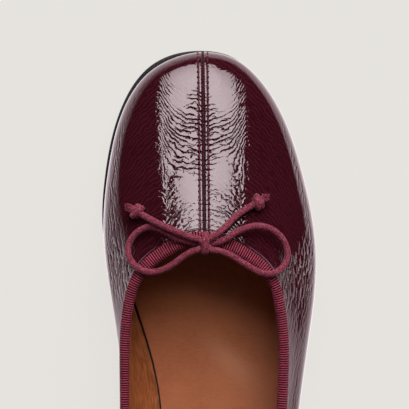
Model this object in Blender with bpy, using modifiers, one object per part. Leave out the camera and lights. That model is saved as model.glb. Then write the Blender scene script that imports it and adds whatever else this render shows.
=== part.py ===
"""Right ballet flat in patent leather: outsole, heel, insole, hollow upper, collar binding and cord bow.

+Y points to the toe, +X to the outer side of the right foot, +Z up. The origin is on the floor, at the
middle of the shoe's box. Lengths are in metres.
"""

import math
from collections import namedtuple

import bmesh
import bpy
import numpy as np

SHOE_LENGTH = 0.250
BALL_WIDTH = 0.088
COLLAR_HEIGHT = 0.057

HEEL_HEIGHT = 0.008
HEEL_SETBACK = 0.0006
HEEL_TAPER = 0.0010
HEEL_ROUND = 0.0006
BREAST_SETBACK = 0.0015
TOE_SPRING = 0.007
SOLE_THICKNESS = 0.0035
SOLE_MARGIN = 0.002
SOLE_FOOT_ROUND = 0.0010
SOLE_TOP_ROUND = 0.0007
INSOLE_THICKNESS = 0.0022
INSOLE_FOOT_ROUND = 0.0003
INSOLE_TOP_ROUND = 0.0008
INSOLE_CLEARANCE = 0.0005
WALL = 0.0016
GAP = 0.0003

# Shares of SHOE_LENGTH from the back of the heel, where the underside changes its slope.
HEEL_BREAST = 0.215
TREAD_BACK = 0.555
TREAD_FRONT = 0.685

# Handles of the curve from the widest line up to the collar, as shares of its rise and of its chord.
CROWN_RISE = 0.55
CROWN_REACH = 0.55

# Handles of the curve from the lower edge out to the widest line, as shares of its tuck and its height.
TUCK_KEEP = 0.55
TUCK_LIFT = 0.15

SEAM_GROOVE = 0.00045
SEAM_GROOVE_WIDTH = 0.0005
SEAM_BEAD = 0.00025
SEAM_BEAD_AT = 0.00125
SEAM_BEAD_WIDTH = 0.0006
SEAM_FADE = 0.006

BINDING_THICKNESS = 0.0007
BINDING_DEPTH = 0.0036
BINDING_ROLL = 0.0009

CORD_DIAMETER = 0.0026
CORD_GAP = 0.0003
CORD_POINT_EVERY = 2 * CORD_DIAMETER
# How far to both sides a cord is lifted with the crest that it crosses.
CORD_EASE = 0.0024
# Rise over run of a tail where it leaves the upper for its knot.
TAIL_END_SLOPE = 0.15
BOW_KNOT_HALF = (0.0016, 0.0046, 0.0028)
BOW_KNOT_INTO_OPENING = 0.0009
TAIL_KNOT_HALF = (0.0026, 0.0034, 0.0026)
TAIL_STUB_LENGTH = 0.0045

# How finely the pieces are divided.
LOW_STEPS = 4
CROWN_STEPS = 9
STEPS_PER_SECTION = 3
KNOT_SIDES = 14
KNOT_BANDS = 8
# How finely the upper is sampled to find where a cord rests on it, and a cord while it is laid.
REST_COLUMNS = 480
REST_STEPS = 90
LAYING_STEP = 0.0006

# One row for each section, from the toe tip down the outer side, round the heel and up the inner side.
# edge and collar x are shares of BALL_WIDTH, along is a share of SHOE_LENGTH from the heel, tuck is a
# share of BALL_WIDTH, margin of SOLE_MARGIN, swell and collar_z of COLLAR_HEIGHT.
Section = namedtuple("Section", "edge_x edge_along tuck margin swell collar_x collar_along collar_z")
SECTIONS = (
    Section(-0.0335, 0.9976, 0.023, 1.25, 0.105, -0.024, 0.689, 0.754),
    Section(0.102, 0.989, 0.023, 1.10, 0.114, 0.098, 0.6755, 0.751),
    Section(0.239, 0.950, 0.026, 0.80, 0.140, 0.203, 0.654, 0.740),
    Section(0.345, 0.890, 0.030, 0.75, 0.167, 0.279, 0.628, 0.725),
    Section(0.434, 0.798, 0.034, 0.80, 0.202, 0.321, 0.586, 0.705),
    Section(0.497, 0.668, 0.039, 0.90, 0.228, 0.340, 0.520, 0.688),
    Section(0.463, 0.528, 0.048, 0.80, 0.272, 0.335, 0.436, 0.681),
    Section(0.402, 0.372, 0.062, 0.80, 0.298, 0.316, 0.336, 0.705),
    Section(0.359, 0.180, 0.048, 0.90, 0.316, 0.278, 0.176, 0.851),
    Section(0.248, 0.050, 0.043, 0.90, 0.316, 0.184, 0.066, 0.956),
    Section(-0.023, 0.002, 0.041, 1.00, 0.298, -0.023, 0.022, 1.000),
    Section(-0.284, 0.050, 0.043, 0.90, 0.316, -0.227, 0.066, 0.961),
    Section(-0.384, 0.180, 0.057, 0.80, 0.333, -0.323, 0.176, 0.863),
    Section(-0.410, 0.380, 0.159, 0.60, 0.456, -0.394, 0.340, 0.723),
    Section(-0.443, 0.548, 0.086, 0.90, 0.368, -0.401, 0.448, 0.705),
    Section(-0.495, 0.688, 0.036, 1.60, 0.246, -0.393, 0.536, 0.709),
    Section(-0.473, 0.808, 0.032, 1.90, 0.210, -0.361, 0.597, 0.719),
    Section(-0.391, 0.913, 0.027, 2.00, 0.167, -0.309, 0.6385, 0.735),
    Section(-0.288, 0.963, 0.025, 2.10, 0.140, -0.227, 0.6635, 0.746),
    Section(-0.160, 0.989, 0.023, 1.70, 0.114, -0.127, 0.6825, 0.753),
)

# Distances of the extra columns that carry the toe seam, from its middle.
SEAM_COLUMNS = (0.00065, 0.00125, 0.00195, 0.0029)

# The bow's routes, chosen by hand: x and y from the middle of the knot, and the height over the knot's
# middle that the cord would have in the air. Where that is lower than the upper, the cord rests on it.
LOOP_OUTER = (
    (0.0022, -0.0004, -0.0013),
    (0.0050, 0.0002, -0.0013),
    (0.0090, 0.0019, -0.0013),
    (0.0126, 0.0043, -0.0020),
    (0.0172, 0.0062, -0.0032),
    (0.0218, 0.0068, -0.0046),
    (0.0264, 0.0056, -0.0061),
    (0.0304, 0.0026, -0.0071),
    (0.0325, -0.0008, -0.0076),
    (0.0333, -0.0042, -0.0074),
    (0.0325, -0.0079, -0.0066),
    (0.0304, -0.0106, -0.0051),
    (0.0264, -0.0123, -0.0035),
    (0.0224, -0.0119, -0.0023),
    (0.0187, -0.0100, -0.0013),
    (0.0141, -0.0072, -0.0006),
    (0.0096, -0.0045, 0.0000),
    (0.0056, -0.0031, 0.0003),
    (0.0024, -0.0026, 0.0005),
)
LOOP_INNER = (
    (-0.0022, -0.0003, -0.0013),
    (-0.0050, 0.0002, -0.0013),
    (-0.0080, 0.0009, -0.0013),
    (-0.0126, 0.0028, -0.0020),
    (-0.0177, 0.0055, -0.0034),
    (-0.0209, 0.0064, -0.0046),
    (-0.0233, 0.0062, -0.0055),
    (-0.0264, 0.0047, -0.0065),
    (-0.0294, 0.0016, -0.0074),
    (-0.0308, -0.0020, -0.0076),
    (-0.0304, -0.0057, -0.0068),
    (-0.0288, -0.0082, -0.0058),
    (-0.0258, -0.0106, -0.0042),
    (-0.0209, -0.0117, -0.0028),
    (-0.0172, -0.0109, -0.0019),
    (-0.0126, -0.0085, -0.0010),
    (-0.0080, -0.0051, -0.0002),
    (-0.0050, -0.0034, 0.0003),
    (-0.0024, -0.0026, 0.0005),
)
TAIL_OUTER = (
    (0.0022, 0.0020, 0.0013),
    (0.0050, 0.0038, 0.0008),
    (0.0081, 0.0063, -0.0012),
    (0.0111, 0.0093, -0.0040),
    (0.0142, 0.0120, -0.0066),
    (0.0184, 0.0146, -0.0090),
)
TAIL_INNER = (
    (-0.0022, 0.0016, 0.0017),
    (-0.0050, 0.0022, 0.0017),
    (-0.0080, 0.0033, 0.0015),
    (-0.0110, 0.0045, 0.0010),
    (-0.0142, 0.0058, -0.0002),
    (-0.0177, 0.0074, -0.0030),
    (-0.0205, 0.0088, -0.0058),
    (-0.0243, 0.0108, -0.0095),
)


def clear_scene():
    for existing in list(bpy.data.objects):
        bpy.data.objects.remove(existing)


def material(name, colour, roughness, metallic=0.0):
    made = bpy.data.materials.new(name)
    made.use_nodes = True
    shader = made.node_tree.nodes["Principled BSDF"]
    shader.inputs["Base Color"].default_value = (*colour, 1.0)
    shader.inputs["Roughness"].default_value = roughness
    shader.inputs["Metallic"].default_value = metallic
    return made


def mesh_object(name, points, faces, finish, collection):
    """One object from points and faces, shaded smooth, in the shoe's collection."""
    mesh = bpy.data.meshes.new(name)
    mesh.from_pydata([tuple(p) for p in points], [], [tuple(f) for f in faces])
    mesh.validate()
    mesh.shade_smooth()
    mesh.set_sharp_from_angle(angle=math.radians(40))
    made = bpy.data.objects.new(name, mesh)
    made.data.materials.append(finish)
    collection.objects.link(made)
    return made


def cyclic_spline(knots, length, values, at):
    """A smooth closed curve through values at knots, which repeats after length, read at the places at.

    It is the periodic cubic spline: its second derivatives solve one linear system round the loop."""
    spans = np.diff(np.append(knots, knots[0] + length))
    before = np.roll(spans, 1)
    count = len(knots)
    system = np.zeros((count, count))
    rows = np.arange(count)
    system[rows, rows] = 2 * (before + spans)
    system[rows, (rows - 1) % count] += before
    system[rows, (rows + 1) % count] += spans
    ahead = (np.roll(values, -1, axis=0) - values) / spans[:, None]
    behind = np.roll(ahead, 1, axis=0)
    bends = np.linalg.solve(system, 6 * (ahead - behind))
    at = np.mod(np.asarray(at, float) - knots[0], length) + knots[0]
    low = np.clip(np.searchsorted(knots, at, side="right") - 1, 0, count - 1)
    high = (low + 1) % count
    span = spans[low][:, None]
    near = ((at - knots[low]) / spans[low])[:, None]
    far = 1 - near
    bend = ((far**3 - far) * bends[low] + (near**3 - near) * bends[high]) * span**2 / 6
    return far * values[low] + near * values[high] + bend


def bezier(a, b, c, d, share):
    """The cubic curve with ends a, d and handles b, c at a share of its way."""
    back = 1 - share
    return back**3 * a + 3 * back**2 * share * b + 3 * back * share**2 * c + share**3 * d


class Last:
    """The form that the shoe is built on, worked out from SECTIONS and the sizes above."""

    def __init__(self):
        rows = np.array(SECTIONS, float)
        scales = (BALL_WIDTH, SHOE_LENGTH, BALL_WIDTH, SOLE_MARGIN)
        scales += (COLLAR_HEIGHT, BALL_WIDTH, SHOE_LENGTH, COLLAR_HEIGHT)
        self.rows = rows * np.array(scales)
        steps = np.linalg.norm(np.diff(self.rows[:, :2], axis=0, append=self.rows[:1, :2]), axis=1)
        self.knots = np.concatenate([[0.0], np.cumsum(steps)[:-1]])
        self.around = float(steps.sum())
        self.shift = np.zeros(2)
        outline = np.concatenate([self.sole_edge(self.fine()), self.section(self.fine())[:, :2]])
        self.shift = -(outline.min(0) + outline.max(0)) / 2

    def fine(self):
        return np.linspace(0, self.around, 2000, endpoint=False)

    def section(self, t):
        """The row of section values at the distance t round the widest line, moved to the origin."""
        made = cyclic_spline(self.knots, self.around, self.rows, t)
        made[:, 0:2] += self.shift
        made[:, 5:7] += self.shift
        return made

    def inward(self, t):
        """The unit direction in plan, square to the widest line, that points into the shoe."""
        step = 1e-5
        run = (self.section(t + step) - self.section(t - step))[:, :2]
        run /= np.linalg.norm(run, axis=1)[:, None]
        return np.stack([run[:, 1], -run[:, 0]], axis=1)

    def lower_edge(self, t, inset=0.0):
        """The upper's lower edge in plan, moved inwards by inset."""
        row = self.section(t)
        return row[:, :2] + self.inward(t) * (row[:, 2:3] + inset)

    def sole_edge(self, t, inset=0.0):
        """The outsole's edge in plan, moved inwards by inset."""
        margin = self.section(t)[:, 3:4]
        return self.lower_edge(t) - self.inward(t) * (margin - inset)

    def along(self, y):
        """The share of the length, from the back of the heel, at a place y."""
        return (y - self.shift[1]) / SHOE_LENGTH

    def underside(self, y):
        """Height of the outsole's underside: heel seat, arch, flat tread and toe spring."""
        place = self.along(y)
        fall = np.clip((place - HEEL_BREAST) / (TREAD_BACK - HEEL_BREAST), 0, 1)
        arch = HEEL_HEIGHT * (1 - fall * fall * (3 - 2 * fall))
        lift = np.clip((place - TREAD_FRONT) / (1 - TREAD_FRONT), 0, None)
        return arch + TOE_SPRING * lift**2

    def sole_top(self, y):
        return self.underside(y) + SOLE_THICKNESS

    def smooth_surface(self, t, v):
        """The outside of the upper without its seam, at t round the shoe and v up the section.

        v is 0 at the lower edge, 1 at the widest line and 2 at the collar."""
        row = self.section(t)
        edge, collar = row[:, None, 0:2], row[:, None, 5:7]
        inward = self.inward(t)[:, None, :]
        tuck = row[:, None, 2:3]
        base = self.sole_top(self.lower_edge(t)[:, 1])[:, None, None] + GAP
        widest = self.sole_top(row[:, 1])[:, None, None] + row[:, None, 4:5]
        top = row[:, None, 7:8]
        low = np.clip(v, 0, 1)[None, :, None]
        high = np.clip(v - 1, 0, 1)[None, :, None]
        inset = bezier(tuck, tuck * TUCK_KEEP, 0, 0, low)
        low_z = bezier(base, base + TUCK_LIFT * (widest - base), (base + widest) / 2, widest, low)
        reach = bezier(0, 0, 1 - CROWN_REACH, 1, high)
        hold = top - CROWN_REACH * (top - widest)
        high_z = bezier(widest, widest + CROWN_RISE * (top - widest), hold, top, high)
        plan = edge + inward * inset + (collar - edge) * reach
        z = np.where(high > 0, high_z, low_z)
        return np.concatenate([plan, z], axis=2)

    def normals(self, t, v):
        """Unit directions square to the smooth surface, pointing out of the shoe."""
        turn, climb = 2e-5, 1e-4
        across = self.smooth_surface(t + turn, v) - self.smooth_surface(t - turn, v)
        up_v, down_v = np.minimum(v + climb, 2), np.maximum(v - climb, 0)
        rising = self.smooth_surface(t, up_v) - self.smooth_surface(t, down_v)
        made = np.cross(rising, across)
        return made / np.linalg.norm(made, axis=2)[:, :, None]

    def collar_distance(self, surface):
        """Distance from each point of the surface up its section to the collar."""
        steps = np.linalg.norm(np.diff(surface, axis=1), axis=2)
        climb = np.concatenate([np.zeros((len(surface), 1)), np.cumsum(steps, axis=1)], axis=1)
        return climb[:, -1:] - climb

    def outside(self, t, v):
        """The outside of the upper with the groove and the two beads of its toe seam."""
        surface = self.smooth_surface(t, v)
        seam = self.smooth_surface(np.zeros(1), v)
        away = np.linalg.norm((surface - seam)[:, :, :2], axis=2)
        on_toe = np.abs(np.mod(t + self.around / 2, self.around) - self.around / 2) < SHOE_LENGTH / 8
        bead = SEAM_BEAD * np.exp(-(((away - SEAM_BEAD_AT) / SEAM_BEAD_WIDTH) ** 2))
        groove = SEAM_GROOVE * np.exp(-((away / SEAM_GROOVE_WIDTH) ** 2))
        fade = np.clip(self.collar_distance(surface) / SEAM_FADE - 1, 0, 1)
        relief = (bead - groove) * fade * on_toe[:, None]
        return surface + self.normals(t, v) * relief[:, :, None]

    def below_collar(self, t, distance):
        """The point of the surface at a distance down from the collar, and its outward direction."""
        v = np.linspace(1.2, 2, 60)
        surface = self.smooth_surface(t, v)
        normals = self.normals(t, v)
        left = self.collar_distance(surface)
        points, directions = [], []
        for column, facing, gone in zip(surface, normals, left):
            share = [np.interp(-distance, -gone, column[:, axis]) for axis in range(3)]
            turned = [np.interp(-distance, -gone, facing[:, axis]) for axis in range(3)]
            points.append(share)
            directions.append(turned)
        return np.array(points), np.array(directions)

    def columns(self):
        """Places round the shoe for the solids' columns, the same count on both sides of the toe."""
        ends = np.append(self.knots, self.around)
        places = []
        for low, high in zip(ends[:-1], ends[1:]):
            places += [low + (high - low) * i / STEPS_PER_SECTION for i in range(STEPS_PER_SECTION)]
        seam = list(SEAM_COLUMNS) + [self.around - s for s in SEAM_COLUMNS]
        clear = max(SEAM_COLUMNS) * 1.3
        kept = [p for p in places if p == 0 or clear < p < self.around - clear]
        return np.array(sorted(kept + seam))


def grid_faces(columns, rows, closed_rows=False):
    """Quads between neighbouring columns of a closed ring, each with the same number of rows."""
    faces = []
    for i in range(columns):
        after = (i + 1) % columns
        for j in range(rows if closed_rows else rows - 1):
            above = (j + 1) % rows
            faces.append((i * rows + j, i * rows + above, after * rows + above, after * rows + j))
    return faces


def ladder_faces(ring):
    """Faces that close a ring from its tip to its far end, between the points on its two sides."""
    count = len(ring)
    faces = [(ring[0], ring[1], ring[count - 1])]
    for i in range(1, (count - 1) // 2):
        faces.append((ring[i], ring[i + 1], ring[count - i - 1], ring[count - i]))
    middle = (count - 1) // 2
    if count % 2 == 0:
        faces.append((ring[middle], ring[middle + 1], ring[middle + 2]))
    return faces


def rounded_rim(thickness, foot, top):
    """A plate's edge from its foot to its top, as (inset, height), with both corners rounded."""
    quarter = [(1.0, 0.0), (1 - math.sqrt(0.5), 1 - math.sqrt(0.5)), (0.0, 1.0)]
    lower = [(foot * inset, foot * rise) for inset, rise in quarter]
    upper = [(top * inset, thickness - top * rise) for inset, rise in reversed(quarter)]
    return lower + upper


def plate(name, outline, height, rounds, finish, collection):
    """A plate with a rounded edge. rounds holds (inset, height over the plate's floor) from its foot to
    its top, outline gives the plan at an inset, and height the floor's height at a place."""
    rings = []
    for inset, rise in rounds:
        plan = outline(inset)
        rings.append(np.column_stack([plan, height(plan) + rise]))
    points = np.stack(rings, axis=1).reshape(-1, 3)
    count, rows = len(rings[0]), len(rounds)
    faces = grid_faces(count, rows)
    floor = [i * rows for i in range(count)]
    roof = [i * rows + rows - 1 for i in range(count)]
    faces += ladder_faces(floor)
    faces += [face[::-1] for face in ladder_faces(roof)]
    return mesh_object(name, points, faces, finish, collection)


def facing_out(target):
    """Turns a closed mesh's faces outwards."""
    work = bmesh.new()
    work.from_mesh(target.data)
    bmesh.ops.recalc_face_normals(work, faces=work.faces)
    work.to_mesh(target.data)
    work.free()
    return target


def build_outsole(last, finish, collection):
    """Thin rubber sole with a rounded edge."""
    places = last.columns()
    rounds = rounded_rim(SOLE_THICKNESS, SOLE_FOOT_ROUND, SOLE_TOP_ROUND)
    made = plate(
        "outsole",
        lambda inset: last.sole_edge(places, inset),
        lambda plan: last.underside(plan[:, 1]),
        rounds,
        finish,
        collection,
    )
    return facing_out(made)


def build_heel(last, finish, collection):
    """Low heel block under the flat heel seat, with a straight breast."""
    breast = HEEL_BREAST * SHOE_LENGTH + last.shift[1] - BREAST_SETBACK
    places = last.columns()
    edge = last.sole_edge(places, HEEL_SETBACK)
    behind = [i for i in range(len(places)) if edge[i, 1] < breast]
    places = places[behind]

    def outline(more):
        plan = last.sole_edge(places, HEEL_SETBACK + more)
        corners = np.array([[plan[0, 0], breast - more], [plan[-1, 0], breast - more]])
        return np.concatenate([corners[:1], plan, corners[1:]])

    top = HEEL_HEIGHT - GAP
    rounds = ((HEEL_TAPER + HEEL_ROUND, 0), (HEEL_TAPER, HEEL_ROUND), (HEEL_TAPER / 2, top / 2), (0, top))
    points = []
    for more, rise in rounds:
        plan = outline(more)
        points.append(np.column_stack([plan, np.full(len(plan), rise)]))
    count, rows = len(points[0]), len(rounds)
    points = np.stack(points, axis=1).reshape(-1, 3)
    faces = grid_faces(count, rows)
    faces.append(tuple(i * rows for i in range(count)))
    faces.append(tuple(i * rows + rows - 1 for i in reversed(range(count))))
    return facing_out(mesh_object("heel", points, faces, finish, collection))


def build_insole(last, finish, collection):
    """Padded leather insole on the outsole, inside the upper's lower edge."""
    places = last.columns()
    start = WALL + INSOLE_CLEARANCE
    rounds = rounded_rim(INSOLE_THICKNESS, INSOLE_FOOT_ROUND, INSOLE_TOP_ROUND)
    made = plate(
        "insole",
        lambda inset: last.lower_edge(places, start + inset),
        lambda plan: last.sole_top(plan[:, 1]) + GAP,
        rounds,
        finish,
        collection,
    )
    return facing_out(made)


def section_steps():
    """Places up a section for the solids: 0 at the lower edge, 1 at the widest line, 2 at the collar."""
    low = np.linspace(0, 1, LOW_STEPS + 1)
    crown = 1 + np.linspace(0, 1, CROWN_STEPS + 1)[1:] ** 1.15
    return np.concatenate([low, crown])


def build_upper(last, finish, collection):
    """Hollow upper, open at the collar and underneath, with its wall's thickness inwards."""
    places, steps = last.columns(), section_steps()
    points = last.outside(places, steps).reshape(-1, 3)
    made = mesh_object("upper", points, grid_faces(len(places), len(steps)), finish, collection)
    shell = made.modifiers.new("wall", "SOLIDIFY")
    shell.thickness = WALL
    shell.offset = -1
    shell.use_even_offset = True
    shell.use_rim = True
    return made


def binding_profile():
    """The folded tape's outline, as (distance below the collar, distance out of the outside face)."""
    outer, inner = GAP, -WALL - GAP
    skin = BINDING_THICKNESS
    half = (outer - inner) / 2 + skin
    middle = (outer + inner) / 2
    arc = []
    for i in range(1, 6):
        angle = math.pi * i / 6
        arc.append((-GAP - BINDING_ROLL * math.sin(angle) - skin, middle + half * math.cos(angle)))
    outside = [(BINDING_DEPTH, outer), (BINDING_DEPTH, outer + skin), (BINDING_DEPTH / 2, outer + skin)]
    inside = [(BINDING_DEPTH / 2, inner - skin), (BINDING_DEPTH, inner - skin), (BINDING_DEPTH, inner)]
    throat = [(BINDING_DEPTH / 2, inner), (-GAP, inner), (-GAP, outer), (BINDING_DEPTH / 2, outer)]
    return outside + arc + inside + throat


def binding_rings(last, places):
    """The folded tape's section at each place round the collar, as an array of places by points."""
    top, facing = last.below_collar(places, 0.0)
    under, _ = last.below_collar(places, 0.0005)
    climb = top - under
    climb /= np.linalg.norm(climb, axis=1)[:, None]
    rings = []
    for below, out in binding_profile():
        if below > 0:
            on, away = last.below_collar(places, below)
            rings.append(on + away * out)
        else:
            rings.append(top - climb * below + facing * out)
    return np.stack(rings, axis=1)


def build_binding(last, finish, collection):
    """Grosgrain tape folded over the collar, closed round the opening."""
    rings = binding_rings(last, last.columns())
    faces = grid_faces(len(rings), rings.shape[1], closed_rows=True)
    return facing_out(mesh_object("collar_binding", rings.reshape(-1, 3), faces, finish, collection))


class RestingSurface:
    """Finds how high a cord or a knot lies on the upper, its binding and the cords laid before it."""

    def __init__(self, last):
        places = np.linspace(0, last.around, REST_COLUMNS, endpoint=False)
        upper = last.outside(places, np.linspace(1, 2, REST_STEPS)).reshape(-1, 3)
        self.points = np.concatenate([upper, binding_rings(last, places).reshape(-1, 3)])

    def add_cord(self, points):
        """Lets later pieces rest on a cord with this centre line."""
        run = np.gradient(points, axis=0)[:, :2]
        run /= np.linalg.norm(run, axis=1)[:, None]
        across = np.column_stack([-run[:, 1], run[:, 0], np.zeros(len(run))])
        upward = np.array((0.0, 0.0, 1.0))
        for angle in np.linspace(0, math.pi, 9):
            skin = points + CORD_DIAMETER / 2 * (math.cos(angle) * across + math.sin(angle) * upward)
            self.points = np.concatenate([self.points, skin])

    def height(self, x, y, half, turn=0.0):
        """Height of the centre of an ellipsoid, turned about the vertical, that lies at x, y on the upper."""
        offsets = self.points[:, :2] - (x, y)
        along = offsets @ (math.cos(turn), math.sin(turn)) / half[0]
        across = offsets @ (-math.sin(turn), math.cos(turn)) / half[1]
        left = 1 - along**2 - across**2
        under = left > 0
        if not under.any():
            return -1.0
        return float((self.points[under, 2] + half[2] * np.sqrt(left[under])).max())


def smooth_route(points, every):
    """A smooth open curve through the points, as points about every apart.

    Each stretch is the cubic whose end directions are the chords between the neighbouring points."""
    points = np.array(points, float)
    steps = np.linalg.norm(np.diff(points, axis=0), axis=1)
    knots = np.concatenate([[0], np.cumsum(steps)])
    slopes = np.gradient(points, knots, axis=0)
    fine = []
    for i, step in enumerate(steps):
        share = np.linspace(0, 1, 40, endpoint=i == len(steps) - 1)[:, None]
        first = points[i] + slopes[i] * step / 3
        second = points[i + 1] - slopes[i + 1] * step / 3
        fine.append(bezier(points[i], first, second, points[i + 1], share))
    return evenly_spaced(np.concatenate(fine), every)


def evenly_spaced(points, every):
    """The line through the points, as points about every apart."""
    run = np.concatenate([[0], np.cumsum(np.linalg.norm(np.diff(points, axis=0), axis=1))])
    count = max(2, round(run[-1] / every))
    wanted = np.linspace(0, run[-1], count + 1)
    return np.column_stack([np.interp(wanted, run, points[:, axis]) for axis in range(3)])


def knot_centre(last, resting):
    """Middle of the bow's knot: over the throat, with its foot on the binding."""
    throat = last.section(np.zeros(1))[0]
    x, y = throat[5], throat[6] - BOW_KNOT_INTO_OPENING
    return np.array([x, y, resting.height(x, y, BOW_KNOT_HALF) + GAP])


def laid_route(route, centre, resting):
    """The route as close points in the shoe's frame, lifted smoothly where it would sink into the upper."""
    fine = smooth_route(route, LAYING_STEP) + centre
    half = [CORD_DIAMETER / 2 + CORD_GAP] * 3
    rests = np.array([resting.height(x, y, half) for x, y, z in fine])
    heights = np.maximum(fine[:, 2], rests)
    reach = round(CORD_EASE / LAYING_STEP)
    padded = np.pad(heights, reach, mode="edge")
    crests = np.array([padded[i : i + 2 * reach + 1].max() for i in range(len(fine))])
    padded = np.pad(crests, reach, mode="edge")
    eased = np.array([padded[i : i + 2 * reach + 1].mean() for i in range(len(fine))])
    lifted = np.clip((rests - fine[:, 2]) / CORD_DIAMETER + 1, 0, 1)
    fine[:, 2] = heights + (eased - heights) * lifted
    return fine


def build_cord(name, route, finish, collection):
    """One stretch of the bow's round cord."""
    points = evenly_spaced(route, CORD_POINT_EVERY)
    curve = bpy.data.curves.new(name, "CURVE")
    curve.dimensions = "3D"
    curve.bevel_depth = CORD_DIAMETER / 2
    curve.bevel_resolution = 2
    curve.use_fill_caps = True
    spline = curve.splines.new("POLY")
    spline.points.add(len(points) - 1)
    for target, place in zip(spline.points, points):
        target.co = (*place, 1)
    curve.materials.append(finish)
    made = bpy.data.objects.new(name, curve)
    collection.objects.link(made)
    return made


def ellipsoid(name, half, finish, collection):
    """A closed ball stretched to three half sizes, round its own origin."""
    work = bmesh.new()
    bmesh.ops.create_uvsphere(work, u_segments=KNOT_SIDES, v_segments=KNOT_BANDS, radius=1)
    for vertex in work.verts:
        vertex.co.x *= half[0]
        vertex.co.y *= half[1]
        vertex.co.z *= half[2]
    mesh = bpy.data.meshes.new(name)
    work.to_mesh(mesh)
    work.free()
    mesh.shade_smooth()
    mesh.materials.append(finish)
    made = bpy.data.objects.new(name, mesh)
    collection.objects.link(made)
    return made


def tail_knot_place(route, resting):
    """The middle of the knot past the end of a tail, and its turn about the vertical."""
    end = route[-1]
    run = (end - route[-4]) * (1, 1, 0)
    run /= np.linalg.norm(run)
    centre = end + run * (TAIL_KNOT_HALF[0] + 3 * CORD_GAP)
    turn = math.atan2(run[1], run[0])
    centre[2] = resting.height(centre[0], centre[1], TAIL_KNOT_HALF, turn) + GAP
    return centre, turn


def held_up(route, centre):
    """The route with its end raised to the height of the knot that it runs into."""
    away = np.linalg.norm(route[:, :2] - centre[:2], axis=1) - TAIL_KNOT_HALF[0]
    raised = route.copy()
    raised[:, 2] = np.maximum(route[:, 2], centre[2] - TAIL_END_SLOPE * away)
    return raised


def build_tail_knot(name, centre, turn, finish, collection, helpers):
    """Overhand knot at the end of a tail: a ball across the cord, and the cord's short end past it."""
    knot = ellipsoid(name, TAIL_KNOT_HALF, finish, collection)
    knot.location = centre
    knot.rotation_euler = (0, 0, turn)
    stub_mesh = bpy.data.meshes.new(name + "_stub")
    work = bmesh.new()
    bmesh.ops.create_cone(
        work,
        cap_ends=True,
        segments=10,
        radius1=CORD_DIAMETER / 2,
        radius2=CORD_DIAMETER / 2,
        depth=TAIL_STUB_LENGTH,
    )
    work.to_mesh(stub_mesh)
    work.free()
    stub = bpy.data.objects.new(name + "_stub", stub_mesh)
    run = np.array((math.cos(turn), math.sin(turn), 0.0))
    stub.location = centre + run * (TAIL_KNOT_HALF[0] + TAIL_STUB_LENGTH / 4)
    stub.rotation_euler = (0, math.pi / 2, turn)
    stub.hide_render = True
    stub.display_type = "WIRE"
    helpers.objects.link(stub)
    joined = knot.modifiers.new("short_end", "BOOLEAN")
    joined.operation = "UNION"
    joined.object = stub


def build_bow(last, finish, collection, helpers):
    """Cord bow over the throat: a knot, two loops, and two tails that end in overhand knots."""
    resting = RestingSurface(last)
    centre = knot_centre(last, resting)
    ellipsoid("bow_knot", BOW_KNOT_HALF, finish, collection).location = centre
    for name, route in (("bow_loop_outer", LOOP_OUTER), ("bow_loop_inner", LOOP_INNER)):
        laid = laid_route(route, centre, resting)
        build_cord(name, laid, finish, collection)
        resting.add_cord(laid)
    for side, route in (("outer", TAIL_OUTER), ("inner", TAIL_INNER)):
        laid = laid_route(route, centre, resting)
        place, turn = tail_knot_place(laid, resting)
        build_cord("bow_tail_" + side, held_up(laid, place), finish, collection)
        build_tail_knot("tail_knot_" + side, place, turn, finish, collection, helpers)


def main():
    clear_scene()
    shoe = bpy.data.collections.new("ballet_flat")
    helpers = bpy.data.collections.new("cutters")
    bpy.context.scene.collection.children.link(shoe)
    bpy.context.scene.collection.children.link(helpers)
    patent = material("patent_leather", (0.045, 0.002, 0.007), 0.12)
    rubber = material("black_rubber", (0.012, 0.012, 0.013), 0.45)
    tan = material("tan_leather", (0.28, 0.095, 0.042), 0.55)
    grosgrain = material("grosgrain", (0.15, 0.018, 0.045), 0.7)
    cotton = material("cotton_cord", (0.25, 0.045, 0.09), 0.85)
    last = Last()
    build_outsole(last, rubber, shoe)
    build_heel(last, rubber, shoe)
    build_insole(last, tan, shoe)
    build_upper(last, patent, shoe)
    build_binding(last, grosgrain, shoe)
    build_bow(last, cotton, shoe, helpers)


main()
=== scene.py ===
"""Right ballet flat in burgundy patent leather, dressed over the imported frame. Lengths are in metres."""

import math

import bmesh
import bpy
import numpy as np
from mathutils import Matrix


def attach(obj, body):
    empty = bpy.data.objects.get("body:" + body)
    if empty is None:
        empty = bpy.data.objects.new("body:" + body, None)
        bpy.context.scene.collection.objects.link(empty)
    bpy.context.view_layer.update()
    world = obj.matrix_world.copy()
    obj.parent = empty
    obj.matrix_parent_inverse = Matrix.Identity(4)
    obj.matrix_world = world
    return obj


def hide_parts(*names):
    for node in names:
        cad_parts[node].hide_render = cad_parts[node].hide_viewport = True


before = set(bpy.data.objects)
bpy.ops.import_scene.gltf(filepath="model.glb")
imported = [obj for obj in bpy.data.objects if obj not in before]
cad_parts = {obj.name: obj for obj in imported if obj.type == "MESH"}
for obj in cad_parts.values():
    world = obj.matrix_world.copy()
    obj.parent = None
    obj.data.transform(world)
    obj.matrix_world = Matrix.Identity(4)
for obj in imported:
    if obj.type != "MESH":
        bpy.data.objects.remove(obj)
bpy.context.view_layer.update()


# Outsole
# One sheet of black rubber, cemented under the upper. Its cut edge shows round the inner side of the toe,
# and its underside has a border line and a ribbed tread. Its plan follows a table of sections round the
# shoe, joined by a smooth closed curve, and the pieces above it take their shape from the same table.

SHOE_LENGTH = 0.250
BALL_WIDTH = 0.088
COLLAR_HEIGHT = 0.057
SOLE_MARGIN = 0.002
HEEL_HEIGHT = 0.008
TOE_SPRING = 0.007
SOLE_THICKNESS = 0.0035

# Shares of SHOE_LENGTH from the back of the heel, where the underside changes its slope.
HEEL_BREAST = 0.215
TREAD_BACK = 0.555
TREAD_FRONT = 0.685

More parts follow.
